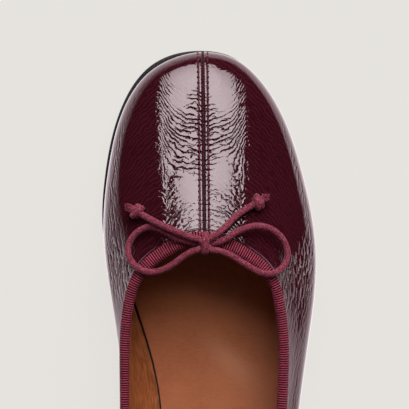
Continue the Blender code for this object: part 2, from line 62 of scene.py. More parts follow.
# Widest line x and distance from the heel, tuck of the lower edge, sole margin, height of the widest
# line, and the collar's x, distance from the heel and height, from the toe round the outer side.
SECTIONS = np.array(
    (
        (-0.0335, 0.9976, 0.023, 1.25, 0.105, -0.024, 0.689, 0.754),
        (0.102, 0.989, 0.023, 1.10, 0.114, 0.098, 0.6755, 0.751),
        (0.239, 0.950, 0.026, 0.80, 0.140, 0.203, 0.654, 0.740),
        (0.345, 0.890, 0.030, 0.75, 0.167, 0.279, 0.628, 0.725),
        (0.434, 0.798, 0.034, 0.80, 0.202, 0.321, 0.586, 0.705),
        (0.497, 0.668, 0.039, 0.90, 0.228, 0.340, 0.520, 0.688),
        (0.463, 0.528, 0.048, 0.80, 0.272, 0.335, 0.436, 0.681),
        (0.402, 0.372, 0.062, 0.80, 0.298, 0.316, 0.336, 0.705),
        (0.359, 0.180, 0.048, 0.90, 0.316, 0.278, 0.176, 0.851),
        (0.248, 0.050, 0.043, 0.90, 0.316, 0.184, 0.066, 0.956),
        (-0.023, 0.002, 0.041, 1.00, 0.298, -0.023, 0.022, 1.000),
        (-0.284, 0.050, 0.043, 0.90, 0.316, -0.227, 0.066, 0.961),
        (-0.384, 0.180, 0.057, 0.80, 0.333, -0.323, 0.176, 0.863),
        (-0.401, 0.380, 0.159, 0.60, 0.456, -0.390, 0.340, 0.723),
        (-0.4325, 0.548, 0.086, 0.90, 0.368, -0.398, 0.448, 0.705),
        (-0.495, 0.688, 0.036, 1.60, 0.246, -0.393, 0.536, 0.709),
        (-0.473, 0.808, 0.032, 1.90, 0.210, -0.368, 0.597, 0.719),
        (-0.391, 0.913, 0.027, 2.00, 0.167, -0.309, 0.6385, 0.735),
        (-0.288, 0.963, 0.025, 2.10, 0.140, -0.227, 0.6635, 0.746),
        (-0.160, 0.989, 0.023, 1.70, 0.114, -0.127, 0.6825, 0.753),
    )
)
EDGE_SCALES = (BALL_WIDTH, SHOE_LENGTH, BALL_WIDTH, SOLE_MARGIN, COLLAR_HEIGHT)
COLLAR_SCALES = (BALL_WIDTH, SHOE_LENGTH, COLLAR_HEIGHT)
# A step along the shoe that is short enough to read a slope from.
SLOPE_STEP = 1e-5

last_rows = SECTIONS * (EDGE_SCALES + COLLAR_SCALES)
last_steps = np.linalg.norm(np.roll(last_rows[:, :2], -1, axis=0) - last_rows[:, :2], axis=1)
last_knots = np.concatenate([[0.0], np.cumsum(last_steps)[:-1]])
last_around = float(last_steps.sum())
last_shift = np.zeros(2)


def closed_curve_bends(values):
    """Second derivatives of the smooth closed curve through values at last_knots: the periodic cubic
    spline, whose bends solve one linear system round the loop."""
    before = np.roll(last_steps, 1)
    count = len(last_knots)
    places = np.arange(count)
    system = np.zeros((count, count))
    system[places, places] = 2 * (before + last_steps)
    system[places, (places - 1) % count] += before
    system[places, (places + 1) % count] += last_steps
    ahead = (np.roll(values, -1, axis=0) - values) / last_steps[:, None]
    return np.linalg.solve(system, 6 * (ahead - np.roll(ahead, 1, axis=0)))


last_bends = closed_curve_bends(last_rows)


def section(t):
    """The row of section values at the distance t round the widest line: the cubic between two rows,
    a mix of their values and of their bends."""
    at = np.mod(np.asarray(t, float), last_around)
    low = np.clip(np.searchsorted(last_knots, at, side="right") - 1, 0, len(last_knots) - 1)
    high = (low + 1) % len(last_knots)
    span = last_steps[low][:, None]
    near = ((at - last_knots[low]) / last_steps[low])[:, None]
    far = 1 - near
    bend = ((far**3 - far) * last_bends[low] + (near**3 - near) * last_bends[high]) * span**2 / 6
    made = far * last_rows[low] + near * last_rows[high] + bend
    made[:, 0:2] += last_shift
    made[:, 5:7] += last_shift
    return made


def unit(vectors):
    """The vectors brought to length 1."""
    return vectors / np.linalg.norm(vectors, axis=-1, keepdims=True)


def inward(t):
    """Unit direction in plan into the shoe: the widest line's own direction, turned a quarter."""
    run = unit((section(t + SLOPE_STEP) - section(t - SLOPE_STEP))[:, :2])
    return np.stack([run[:, 1], -run[:, 0]], axis=1)


def lower_edge(t, inset=0.0):
    """The upper's lower edge in plan, moved inwards by inset."""
    row = section(t)
    return row[:, :2] + inward(t) * (row[:, 2:3] + inset)


def sole_edge(t, inset=0.0):
    """The outsole's edge in plan, moved inwards by inset."""
    return lower_edge(t) - inward(t) * (section(t)[:, 3:4] - inset)


def underside(y):
    """Height of the sole's underside: flat at the heel, a smooth fall to a flat tread, then a square
    curve up to the toe."""
    place = (y - last_shift[1]) / SHOE_LENGTH
    fall = np.clip((place - HEEL_BREAST) / (TREAD_BACK - HEEL_BREAST), 0, 1)
    lift = np.clip((place - TREAD_FRONT) / (1 - TREAD_FRONT), 0, None)
    return HEEL_HEIGHT * (1 - fall * fall * (3 - 2 * fall)) + TOE_SPRING * lift**2


def sole_top(y):
    return underside(y) + SOLE_THICKNESS


fine_places = np.linspace(0, last_around, 2000, endpoint=False)
outline = np.concatenate([sole_edge(fine_places), section(fine_places)[:, :2]])
last_shift = -(outline.min(0) + outline.max(0)) / 2


def smoothstep(low, high, value):
    """0 below low, 1 above high and a smooth rise between, also with low above high."""
    share = np.clip((value - low) / (high - low), 0, 1)
    return share * share * (3 - 2 * share)


SOLE_FOOT_ROUND = 0.0010
SOLE_TOP_ROUND = 0.0007
SOLE_COLUMNS = 420
SOLE_INNER_RINGS = 14
EDGE_SHOWN = 0.00060
TIP_SHOWN = 0.00050
TREAD_STARTS = (0.50, 0.52)
TREAD_ENDS = (0.86, 0.84)
TREAD_RIB_PITCH = 0.0022
TREAD_BORDER = 0.0045
BORDER_LINE_HALF = (0.0002, 0.0007)
TREAD_DEPTH = 0.0004
RUBBER_COLOUR = (0.011, 0.011, 0.012)
RUBBER_EDGE_COLOUR = (0.022, 0.020, 0.021)


def link_mesh(name, points, faces):
    """A smooth-shaded object at the origin from an array of points and an array or list of faces."""
    mesh = bpy.data.meshes.new(name)
    mesh.from_pydata(np.asarray(points).reshape(-1, 3).tolist(), [], [tuple(f) for f in faces])
    mesh.shade_smooth()
    piece = bpy.data.objects.new(name, mesh)
    bpy.context.scene.collection.objects.link(piece)
    return piece


def grid_faces(columns, rows, close_columns=True, close_rows=False):
    """Quads of a grid of columns by rows, facing along rows crossed with columns."""
    i = np.arange(columns if close_columns else columns - 1)[:, None]
    j = np.arange(rows if close_rows else rows - 1)[None, :]
    after, above = (i + 1) % columns, (j + 1) % rows
    quads = np.stack([i * rows + j, i * rows + above, after * rows + above, after * rows + j], axis=-1)
    return quads.reshape(-1, 4)


def rounded_rim(thickness, foot, top, steps=5):
    """A plate's edge from its foot to its top as (inset, height): two quarter circles."""
    angles = np.linspace(0, math.pi / 2, steps)
    lower = np.column_stack([foot * (1 - np.sin(angles)), foot * (1 - np.cos(angles))])
    upper = np.column_stack([top * (1 - np.sin(angles)), thickness - top * (1 - np.cos(angles))])
    return np.concatenate([lower, upper[::-1]])


def shrunk_rings(rim, count):
    """Rings in plan from an outline to its own middle line, as an array of rings by places.

    Each ring lies at a share of the way to the point of the middle line with the same distance along."""
    spine_x = np.interp(rim[:, 1], *spine_of(rim))
    low, high = rim[:, 1].min(), rim[:, 1].max()
    keep = (high - low) * 0.06
    spine_y = np.clip(rim[:, 1], low + keep, high - keep)
    spine = np.column_stack([spine_x, spine_y])
    shares = np.linspace(0, 1, count + 1)[1:]
    return rim[None] + (spine - rim)[None] * shares[:, None, None]


def spine_of(rim):
    """The middle line of a closed outline as (y, x): half way between its two sides at each y."""
    toe, heel = rim[:, 1].argmax(), rim[:, 1].argmin()
    order = np.roll(np.arange(len(rim)), -toe)
    cut = (heel - toe) % len(rim)
    right, left = rim[order[: cut + 1]], rim[order[cut:]]
    ys = np.linspace(rim[:, 1].min(), rim[:, 1].max(), 200)
    xs_right = np.interp(ys, right[::-1, 1], right[::-1, 0])
    xs_left = np.interp(ys, left[:, 1], left[:, 0])
    return ys, (xs_right + xs_left) / 2


def new_finish(name):
    """A material with an empty Principled shader, as (material, its nodes' tree, shader)."""
    material = bpy.data.materials.new(name)
    material.use_nodes = True
    return material, material.node_tree, material.node_tree.nodes["Principled BSDF"]


def feed(tree, node, inputs):
    """Links each input of a node from a socket, or sets it to a value."""
    for key, value in inputs.items():
        if isinstance(value, bpy.types.NodeSocket):
            tree.links.new(value, node.inputs[key])
        else:
            node.inputs[key].default_value = value
    return node


def add(tree, kind, inputs=None, **settings):
    """A node with its settings and its inputs."""
    node = tree.nodes.new(kind)
    for name, value in settings.items():
        setattr(node, name, value)
    return feed(tree, node, inputs or {})


def parts_of(tree, vector):
    """The X, Y and Z outputs of a vector."""
    return add(tree, "ShaderNodeSeparateXYZ", {"Vector": vector}).outputs


def vector_of(tree, **parts):
    """A vector from its X, Y and Z, each a socket or a value."""
    return add(tree, "ShaderNodeCombineXYZ", parts).outputs[0]


def maths(tree, operation, *values):
    """The result of one Math node."""
    return add(tree, "ShaderNodeMath", dict(enumerate(values)), operation=operation).outputs[0]


def remap(tree, value, low, high, to_low=0.0, to_high=1.0):
    """The value brought from low..high to to_low..to_high along a smooth step."""
    ends = {"Value": value, "From Min": low, "From Max": high, "To Min": to_low, "To Max": to_high}
    return add(tree, "ShaderNodeMapRange", ends, interpolation_type="SMOOTHSTEP").outputs["Result"]


def noise(tree, vector, scale, detail=2.0, roughness=0.5, distortion=0.0):
    """Soft noise from 0 to 1 along a vector."""
    inputs = {"Vector": vector, "Scale": scale, "Detail": detail, "Roughness": roughness}
    inputs["Distortion"] = distortion
    return add(tree, "ShaderNodeTexNoise", inputs).outputs["Fac"]


def blend_colours(tree, share, first, second):
    """One colour turning into another as share goes from 0 to 1."""
    node = add(tree, "ShaderNodeMix", {"Factor": share}, data_type="RGBA")
    for key, value in (("A", first), ("B", second)):
        socket = [s for s in node.inputs if s.name == key and s.type == "RGBA"][0]
        if isinstance(value, bpy.types.NodeSocket):
            tree.links.new(value, socket)
        else:
            socket.default_value = (*value, 1.0)
    return [s for s in node.outputs if s.type == "RGBA"][0]


def relief(tree, height, distance):
    """A Bump node for heights that are counted in distance."""
    return add(tree, "ShaderNodeBump", {"Height": height, "Distance": distance}).outputs["Normal"]


def set_attribute(piece, name, values):
    """Stores one number or one vector for each point of the piece's mesh."""
    values = np.asarray(values, float).reshape(len(piece.data.vertices), -1)
    kind, key = ("FLOAT", "value") if values.shape[1] == 1 else ("FLOAT_VECTOR", "vector")
    layer = piece.data.attributes.new(name, kind, "POINT")
    layer.data.foreach_set(key, values.ravel())


def attribute(tree, name, output="Fac"):
    return add(tree, "ShaderNodeAttribute", attribute_name=name).outputs[output]


def object_place(tree):
    return add(tree, "ShaderNodeTexCoord").outputs["Object"]


def rubber_finish():
    """Matt black rubber, a little grey in slow random patches and a little rougher with its fine grain."""
    material, tree, shader = new_finish("black_rubber")
    place = object_place(tree)
    grain = noise(tree, place, 2600.0, 3.0)
    patches = noise(tree, place, 60.0, 3.0)
    colour = blend_colours(tree, remap(tree, patches, 0.35, 0.7), RUBBER_COLOUR, RUBBER_EDGE_COLOUR)
    ribs = maths(tree, "PINGPONG", parts_of(tree, place)["Y"], TREAD_RIB_PITCH / 2)
    ribs = remap(tree, ribs, TREAD_RIB_PITCH * 0.12, TREAD_RIB_PITCH * 0.3)
    tread = maths(tree, "MULTIPLY", ribs, attribute(tree, "tread"))
    away = maths(tree, "ABSOLUTE", maths(tree, "SUBTRACT", attribute(tree, "from_rim"), TREAD_BORDER))
    line = remap(tree, away, *BORDER_LINE_HALF)
    height = maths(tree, "MULTIPLY_ADD", grain, 0.12, maths(tree, "ADD", tread, line))
    rough = remap(tree, grain, 0.3, 0.7, 0.42, 0.6)
    normal = relief(tree, height, TREAD_DEPTH)
    feed(tree, shader, {"Base Color": colour, "Roughness": rough, "Normal": normal})
    return material


rubber = rubber_finish()

sole_places = np.linspace(0, last_around, SOLE_COLUMNS, endpoint=False)
sole_rim = rounded_rim(SOLE_THICKNESS, SOLE_FOOT_ROUND, SOLE_TOP_ROUND)


def plate_rings(plans, rises, floor_at, inner_rings):
    """Rings of a plate from the middle of its underside, round its edge, to the middle of its top. Its
    edge has a plan at each rise over the plate's floor."""
    plans = [*shrunk_rings(plans[0], inner_rings)[::-1], *plans, *shrunk_rings(plans[-1], inner_rings)]
    rises = [rises[0]] * inner_rings + list(rises) + [rises[-1]] * inner_rings
    rings = [np.column_stack([plan, floor_at(plan[:, 1]) + rise]) for plan, rise in zip(plans, rises)]
    return np.stack(rings, axis=1)


def merge_close(piece, distance=1e-6):
    """Joins points that lie together, as along a plate's middle line, and turns its faces outwards."""
    work = bmesh.new()
    work.from_mesh(piece.data)
    bmesh.ops.remove_doubles(work, verts=work.verts, dist=distance)
    bmesh.ops.recalc_face_normals(work, faces=work.faces)
    work.to_mesh(piece.data)
    work.free()


def shown_edge(t):
    """How far the edge stands out past the upper, where it shows: along the inner side of the ball, and
    a little round the tip of the toe."""
    share = (lower_edge(t)[:, 1] - last_shift[1]) / SHOE_LENGTH
    beside_ball = (t > last_around / 2) * smoothstep(0.64, 0.72, share) * smoothstep(0.93, 0.80, share)
    return EDGE_SHOWN * beside_ball + TIP_SHOWN * smoothstep(0.94, 0.985, share)


def sole_outline(inset):
    """The sole's plan at an inset."""
    return sole_edge(sole_places, inset) - inward(sole_places) * shown_edge(sole_places)[:, None]


sole_plans = [sole_outline(inset) for inset in sole_rim[:, 0]]
sole_points = plate_rings(sole_plans, sole_rim[:, 1], underside, SOLE_INNER_RINGS)
outsole = link_mesh("rubber_outsole", sole_points, grid_faces(SOLE_COLUMNS, sole_points.shape[1]))
from_rim = np.linalg.norm(sole_points[:, :, :2] - sole_outline(0)[:, None], axis=2)
below = np.arange(sole_points.shape[1]) <= SOLE_INNER_RINGS
tread_along = (sole_points[:, :, 1] - last_shift[1]) / SHOE_LENGTH
on_tread = smoothstep(*TREAD_STARTS, tread_along) * smoothstep(*TREAD_ENDS, tread_along)
inside_border = smoothstep(TREAD_BORDER + 0.0005, TREAD_BORDER + 0.0011, from_rim)
set_attribute(outsole, "tread", on_tread * inside_border * below)
set_attribute(outsole, "from_rim", np.where(below, from_rim, 1.0))
merge_close(outsole)
outsole.data.materials.append(rubber)
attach(outsole, "root")
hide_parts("outsole")


# Heel
# A low stacked block under the heel seat, moulded in one with its top piece. The photograph's edge hides
# it, so it is plain, with one line where the top piece meets the block.

GAP = 0.0003
HEEL_SETBACK = 0.0006
HEEL_TAPER = 0.0010
HEEL_ROUND = 0.0006
BREAST_SETBACK = 0.0015
BREAST_POINTS = 14
TOP_PIECE = 0.0026
TOP_PIECE_LINE = 0.0003


def bump_at(value, middle, width):
    """A round bump of height 1 at middle."""
    return np.exp(-(((value - middle) / width) ** 2))


heel_breast = HEEL_BREAST * SHOE_LENGTH + last_shift[1] - BREAST_SETBACK
heel_top = HEEL_HEIGHT - GAP
heel_places = sole_places[sole_edge(sole_places, HEEL_SETBACK)[:, 1] < heel_breast]


def heel_outline(inset):
    """The heel's plan at an inset: the sole's edge behind the breast, and the straight breast."""
    plan = sole_edge(heel_places, HEEL_SETBACK + inset)
    share = np.linspace(0, 1, BREAST_POINTS)[:, None]
    front = np.array([plan[0, 0], heel_breast - inset]) * share
    front = front + np.array([plan[-1, 0], heel_breast - inset]) * (1 - share)
    return np.concatenate([plan, front])


# Heights of the heel's rings: close together at the foot's rounding and at the top piece's line.
heel_heights = np.array([0, 0.15, 0.5, 1, 2.2, TOP_PIECE / HEEL_ROUND - 0.5]) * HEEL_ROUND
heel_heights = np.append(heel_heights, TOP_PIECE + np.array([-0.5, 0, 0.5, 1.5]) * TOP_PIECE_LINE)
heel_heights = np.append(heel_heights, np.linspace(TOP_PIECE + 3 * TOP_PIECE_LINE, heel_top, 5))
heel_insets = HEEL_TAPER * (1 - heel_heights / heel_top)
heel_insets += HEEL_ROUND * (1 - np.sqrt(1 - (1 - np.clip(heel_heights / HEEL_ROUND, 0, 1)) ** 2))
heel_insets += TOP_PIECE_LINE * bump_at(heel_heights, TOP_PIECE, TOP_PIECE_LINE * 0.7)
heel_rings = []
for inset, height in zip(heel_insets, heel_heights):
    plan = heel_outline(inset)
    heel_rings.append(np.column_stack([plan, np.full(len(plan), height)]))
heel_points = np.stack(heel_rings, axis=1)
heel_count, heel_rows = heel_points.shape[:2]
heel_faces = [tuple(f) for f in grid_faces(heel_count, heel_rows)]
heel_faces.append(tuple(i * heel_rows for i in range(heel_count)))
heel_faces.append(tuple(i * heel_rows + heel_rows - 1 for i in reversed(range(heel_count))))
heel = link_mesh("heel_block", heel_points, heel_faces)
merge_close(heel)
heel.data.set_sharp_from_angle(angle=math.radians(40))
heel.data.materials.append(rubber)
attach(heel, "root")
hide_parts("heel")


# Insole
# Tan leather over a thin pad, glued on the sole inside the upper. It is smooth, with a lighter tan painted
# as a highlight where the ball of the foot rests, and a dark gap shows between its edge and the lining,
# whose shade is painted near black on that edge.

WALL = 0.0016
INSOLE_THICKNESS = 0.0022
INSOLE_FOOT_ROUND = 0.0003
INSOLE_TOP_ROUND = 0.0004
INSOLE_CLEARANCE = 0.0016
INSOLE_INNER_RINGS = 30
TAN_LIGHT = (0.50, 0.158, 0.064)
TAN_DARK = (0.43, 0.130, 0.053)
# Near black, painted on the insole's cut edge as the shade of the gap beside the lining.
GAP_SHADE_PAINT = (0.004, 0.002, 0.001)
# A lighter tan, painted as a highlight where the ball of the foot rests.
PAINTED_SHEEN_COLOUR = (0.66, 0.270, 0.140)
PAINTED_SHEEN_SHARE = 0.60
TAN_GRAIN_SCALE = 1500.0
INSOLE_GRAIN = {
    "roughness": 0.46,
    "depth": 0.00004,
    "line_scale": 1500.0,
    "line_depth": 0.35,
    "line_contrast": 1.08,
}
INSOLE_GRAIN_RUN = (0.30, 1.0, 0.30)
# Painted highlight at the ball of the foot: x, y, half length, half width, and the turn from across.
PAINTED_SHEEN_SPOT = (0.0090, -0.0036, 0.0112, 0.0050, -0.75)

# Handles of a section's curves, as shares of its rise, its reach, its tuck and its low height.
CROWN_RISE = 0.55
CROWN_REACH = 0.55
TUCK_KEEP = 0.55
TUCK_LIFT = 0.15


def bezier(a, b, c, d, share):
    """The cubic curve with ends a, d and handles b, c at a share of its way."""
    back = 1 - share
    return back**3 * a + 3 * back**2 * share * b + 3 * back * share**2 * c + share**3 * d


def form(t, v):
    """The outside of the shoe at t round it and v up its section: 0 is the lower edge, 1 the widest
    line and 2 the collar. Each half of a section is a cubic curve between these."""
    row = section(t)
    edge, collar = row[:, None, 0:2], row[:, None, 5:7]
    tuck = row[:, None, 2:3]
    base = sole_top(lower_edge(t)[:, 1])[:, None, None] + GAP
    widest = sole_top(row[:, 1])[:, None, None] + row[:, None, 4:5]
    top = row[:, None, 7:8]
    low = np.clip(v, 0, 1)[None, :, None]
    high = np.clip(v - 1, 0, 1)[None, :, None]
    inset = bezier(tuck, tuck * TUCK_KEEP, 0, 0, low)
    low_z = bezier(base, base + TUCK_LIFT * (widest - base), (base + widest) / 2, widest, low)
    reach = bezier(0, 0, 1 - CROWN_REACH, 1, high)
    hold = top - CROWN_REACH * (top - widest)
    high_z = bezier(widest, widest + CROWN_RISE * (top - widest), hold, top, high)
    plan = edge + inward(t)[:, None, :] * inset + (collar - edge) * reach
    return np.concatenate([plan, np.where(high > 0, high_z, low_z)], axis=2)


def form_normals(t, v):
    """Unit directions out of the form: the cross product of its two slopes."""
    turn, climb = 2e-5, 1e-4
    across = form(t + turn, v) - form(t - turn, v)
    rising = form(t, np.minimum(v + climb, 2)) - form(t, np.maximum(v - climb, 0))
    return unit(np.cross(rising, across))


def leather_group():
    """Shared fine leather grain: small cells with soft valleys between, and slow patches of tone.

    Inputs: Vector, Grain Scale. Outputs: Grain, a height from 0 to 1, and Patches, from 0 to 1."""
    group = bpy.data.node_groups.new("leather_grain", "ShaderNodeTree")
    group.interface.new_socket("Vector", in_out="INPUT", socket_type="NodeSocketVector")
    group.interface.new_socket("Grain Scale", in_out="INPUT", socket_type="NodeSocketFloat")
    group.interface.new_socket("Grain", in_out="OUTPUT", socket_type="NodeSocketFloat")
    group.interface.new_socket("Patches", in_out="OUTPUT", socket_type="NodeSocketFloat")
    given = add(group, "NodeGroupInput").outputs
    cells = {"Vector": given["Vector"], "Scale": given["Grain Scale"]}
    cells = add(group, "ShaderNodeTexVoronoi", cells, feature="DISTANCE_TO_EDGE").outputs["Distance"]
    pores = remap(group, cells, 0.0, 0.25)
    soft = noise(group, given["Vector"], 900.0, 3.0)
    grain = maths(group, "MULTIPLY_ADD", soft, 0.5, maths(group, "MULTIPLY", pores, 0.5))
    patches = noise(group, given["Vector"], 55.0, 4.0, 0.6)
    add(group, "NodeGroupOutput", {"Grain": grain, "Patches": remap(group, patches, 0.3, 0.7)})
    return group


leather_grain = leather_group()


def tan_finish(name, light, dark, roughness, depth, line_scale, line_depth, line_contrast):
    """Vegetable-tanned lining leather: fine grain, drawn into lines along the piece's own grain_run, slow
    changes of tone and a low satin shine. A lighter tan is painted as a highlight on a marked spot, and
    the cut edge is painted near black as shade."""
    material, tree, shader = new_finish(name)
    grain = {"Vector": object_place(tree), "Grain Scale": TAN_GRAIN_SCALE}
    grain = add(tree, "ShaderNodeGroup", grain, node_tree=leather_grain).outputs
    colour = blend_colours(tree, grain["Patches"], dark, light)
    lines = noise(tree, attribute(tree, "grain_run", "Vector"), line_scale, 2.0, 0.6, 0.5)
    lines = remap(tree, lines, 0.36, 0.66)
    pale = tuple(min(1.0, value * line_contrast) for value in light)
    colour = blend_colours(tree, maths(tree, "MULTIPLY", lines, 0.5), colour, pale)
    # Painted highlight: a lighter tan where the ball of the foot rests.
    painted_sheen = maths(tree, "MULTIPLY", attribute(tree, "painted_sheen"), PAINTED_SHEEN_SHARE)
    colour = blend_colours(tree, painted_sheen, colour, PAINTED_SHEEN_COLOUR)
    # Painted shade: the cut edge is near black, for the gap beside the lining.
    colour = blend_colours(tree, attribute(tree, "cut_edge"), colour, GAP_SHADE_PAINT)
    rough = remap(tree, grain["Patches"], 0.0, 1.0, roughness + 0.06, roughness - 0.06)
    height = maths(tree, "MULTIPLY_ADD", lines, line_depth, grain["Grain"])
    inputs = {"Base Color": colour, "Roughness": rough, "Normal": relief(tree, height, depth)}
    feed(tree, shader, {**inputs, "Specular IOR Level": 0.12})
    return material


def beside_lining(t, rise, away):
    """Points in plan beside the lining, at a rise over the sole and a distance away from its face."""
    v = np.linspace(0, 0.7, 60)
    face = form(t, v) - form_normals(t, v) * WALL
    rises = face[:, :, 2] - sole_top(lower_edge(t)[:, 1])[:, None]
    row = np.arange(len(t))
    above = np.clip(np.argmax(rises >= rise, axis=1), 1, len(v) - 1)
    span = np.maximum(rises[row, above] - rises[row, above - 1], 1e-9)
    share = np.clip((rise - rises[row, above - 1]) / span, 0, 1)[:, None]
    plan = face[row, above - 1, :2] * (1 - share) + face[row, above, :2] * share
    return plan + inward(t) * away


def insole_floor(y):
    """Height of the insole's underside, just over the sole."""
    return sole_top(y) + GAP


def turned_shares(offsets, turn, half_along, half_across):
    """Offsets in plan as shares of two half sizes that stand turned by an angle."""
    along = offsets @ (math.cos(turn), math.sin(turn)) / half_along
    across = offsets @ (-math.sin(turn), math.cos(turn)) / half_across
    return along, across


insole_rim = rounded_rim(INSOLE_THICKNESS, INSOLE_FOOT_ROUND, INSOLE_TOP_ROUND)
insole_plans = []
for inset, rise in insole_rim:
    insole_plans.append(beside_lining(sole_places, GAP + rise, INSOLE_CLEARANCE + inset))
insole_points = plate_rings(insole_plans, insole_rim[:, 1], insole_floor, INSOLE_INNER_RINGS)
insole = link_mesh("leather_insole", insole_points, grid_faces(len(sole_places), insole_points.shape[1]))
on_edge = np.zeros(insole_points.shape[:2])
on_edge[:, INSOLE_INNER_RINGS + 1 : INSOLE_INNER_RINGS + len(insole_rim) - 1] = 1.0
set_attribute(insole, "cut_edge", on_edge)
set_attribute(insole, "grain_run", insole_points * INSOLE_GRAIN_RUN)
# The painted highlight's spot on the insole, a soft oval.
spot_x, spot_y, spot_long, spot_wide, spot_turn = PAINTED_SHEEN_SPOT
from_spot = insole_points[:, :, :2] - (spot_x, spot_y)
spot_along, spot_across = turned_shares(from_spot, spot_turn, spot_long, spot_wide)
set_attribute(insole, "painted_sheen", np.exp(-(spot_along**2) - spot_across**2))
merge_close(insole)
insole.data.materials.append(tan_finish("insole_leather", TAN_LIGHT, TAN_DARK, **INSOLE_GRAIN))
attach(insole, "root")
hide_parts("insole")


# Upper
# Two halves of crinkled patent leather, joined by a seam down the toe and one up the back, and pulled
# over a last. The film on top is as glossy as glass and follows every crease of the skin under it.

UPPER_ROWS = 150
SIDE_COLUMNS = 220
SEAM_COLUMN = 0.0001
TOE_COLUMN = 0.0006
BACK_COLUMN = 0.0002
SEAM_GROOVE = 0.00095
SEAM_GROOVE_HALF = 0.00060
SEAM_BEAD = 0.00016
SEAM_BEAD_AT = 0.00115
SEAM_BEAD_WIDTH = 0.00070
STITCH_DIP = 0.00012
STITCH_DIP_WIDTH = 0.00022
STITCH_ROW_AT = 0.00198
SEAM_FADE = 0.004
BACK_SEAM_GROOVE = 0.0005
BACK_SEAM_HALF = 0.0006
BACK_SEAM_BEAD = 0.00016
BACK_SEAM_BEAD_AT = 0.0011
PATENT_COLOUR = (0.046, 0.0040, 0.0090)
# Darker burgundy for slow random tone, and painted shade in the vamp's crease valleys.
PATENT_DEEP_AND_CREASE_SHADE = (0.026, 0.0022, 0.0055)
# Paler burgundy, painted in fans of streaks as reflection on the vamp's dark sides.
PAINTED_REFLECTION_COLOUR = (0.088, 0.0135, 0.0230)
# Near black, painted in the needle holes as their shade.
HOLE_SHADE_PAINT = (0.004, 0.001, 0.002)
FILM_IOR = 1.8
FILM_TINT = (1.0, 0.86, 0.90)
CREASE_DEPTH = 0.00020
PEBBLE_DEPTH = 0.00006
STITCH_PITCH = 0.0024
STITCH_START = 0.0008
HEM_RIDGE_AT = 0.0047
HEM_RIDGE_HALF = 0.0006
# Each set of creases: spacing, length and half width, waviness in spacings, and the share that is kept.
BOLD_CREASES = (0.00200, 0.0046, 0.00068, 1.5, 0.62)
CROSSING_CREASES = (0.0023, 0.0036, 0.00048, 1.8, 0.50)
LONG_CREASES = (0.0030, 0.0038, 0.00090, 1.8, 0.50)
SLANT_CREASES = (0.0024, 0.0032, 0.00100, 2.3, 0.58)
# Not creases in the surface: this set only places the painted reflection's streaks.
PAINTED_REFLECTION_FANS = (0.0021, 0.0080, 0.0009, 1.8, 0.70)

# Columns round the shoe: close together at the seam and over the toe, wider behind the collar's sides.
seam_side = np.arange(1, 27) * SEAM_COLUMN
seam_side = np.concatenate([seam_side, np.arange(1, 76) * TOE_COLUMN + seam_side[-1]])
back_side = np.concatenate([np.arange(1, 13) * BACK_COLUMN, [0.0029, 0.0036]])
side_places = np.linspace(seam_side[-1], last_around / 2 - back_side[-1], SIDE_COLUMNS)[1:]
outer_places = np.concatenate([seam_side, side_places, last_around / 2 - back_side[-2::-1]])
upper_places = np.concatenate([[0.0], outer_places, [last_around / 2], last_around - outer_places[::-1]])
low_rows = np.linspace(0, 1, 22)
crown_rows = 1 + np.linspace(0, 1, UPPER_ROWS - 21)[1:]
upper_rows = np.concatenate([low_rows, crown_rows])


def distance_along(lines):
    """Distance of each point from its line's start, along a line or along each of many lines."""
    steps = np.linalg.norm(np.diff(lines, axis=-2), axis=-1)
    return np.concatenate([np.zeros((*steps.shape[:-1], 1)), np.cumsum(steps, axis=-1)], axis=-1)


def seam_distance(places, surface):
    """Distance in plan from the toe seam's line at the same step up the section, with its side."""
    seam = form(np.zeros(1), upper_rows)
    away = np.linalg.norm((surface - seam)[:, :, :2], axis=2)
    side = np.where(places < last_around / 2, 1.0, -1.0)[:, None]
    return away * side


def seam_relief(away, to_collar):
    """Height of the seam over the smooth form: a groove with a rounded bead at each side of it, and the
    line that the stitches have pulled down along each bead's foot."""
    beads = SEAM_BEAD * bump_at(np.abs(away), SEAM_BEAD_AT, SEAM_BEAD_WIDTH)
    dips = STITCH_DIP * bump_at(np.abs(away), STITCH_ROW_AT, STITCH_DIP_WIDTH)
    groove = SEAM_GROOVE * np.clip(1 - np.abs(away) / SEAM_GROOVE_HALF, 0, 1) ** 0.8
    fade = smoothstep(SEAM_FADE / 2, SEAM_FADE, to_collar)
    return (beads - dips - groove) * fade


upper_smooth = form(upper_places, upper_rows)
upper_normals = form_normals(upper_places, upper_rows)
upper_climb = distance_along(upper_smooth)
upper_to_collar = upper_climb[:, -1:] - upper_climb
upper_away = seam_distance(upper_places, upper_smooth)
on_toe = np.minimum(upper_places, last_around - upper_places)[:, None] < SHOE_LENGTH / 8
upper_height = seam_relief(upper_away, upper_to_collar) * on_toe
from_back = np.abs(upper_places - last_around / 2)[:, None]
back_seam = BACK_SEAM_BEAD * bump_at(from_back, BACK_SEAM_BEAD_AT, BACK_SEAM_HALF)
back_seam = back_seam - BACK_SEAM_GROOVE * np.clip(1 - from_back / BACK_SEAM_HALF, 0, 1)
upper_height = upper_height + back_seam * smoothstep(0.001, 0.003, upper_climb)
upper_points = upper_smooth + upper_normals * upper_height[:, :, None]
patent_upper = link_mesh("patent_upper", upper_points, grid_faces(len(upper_places), len(upper_rows)))

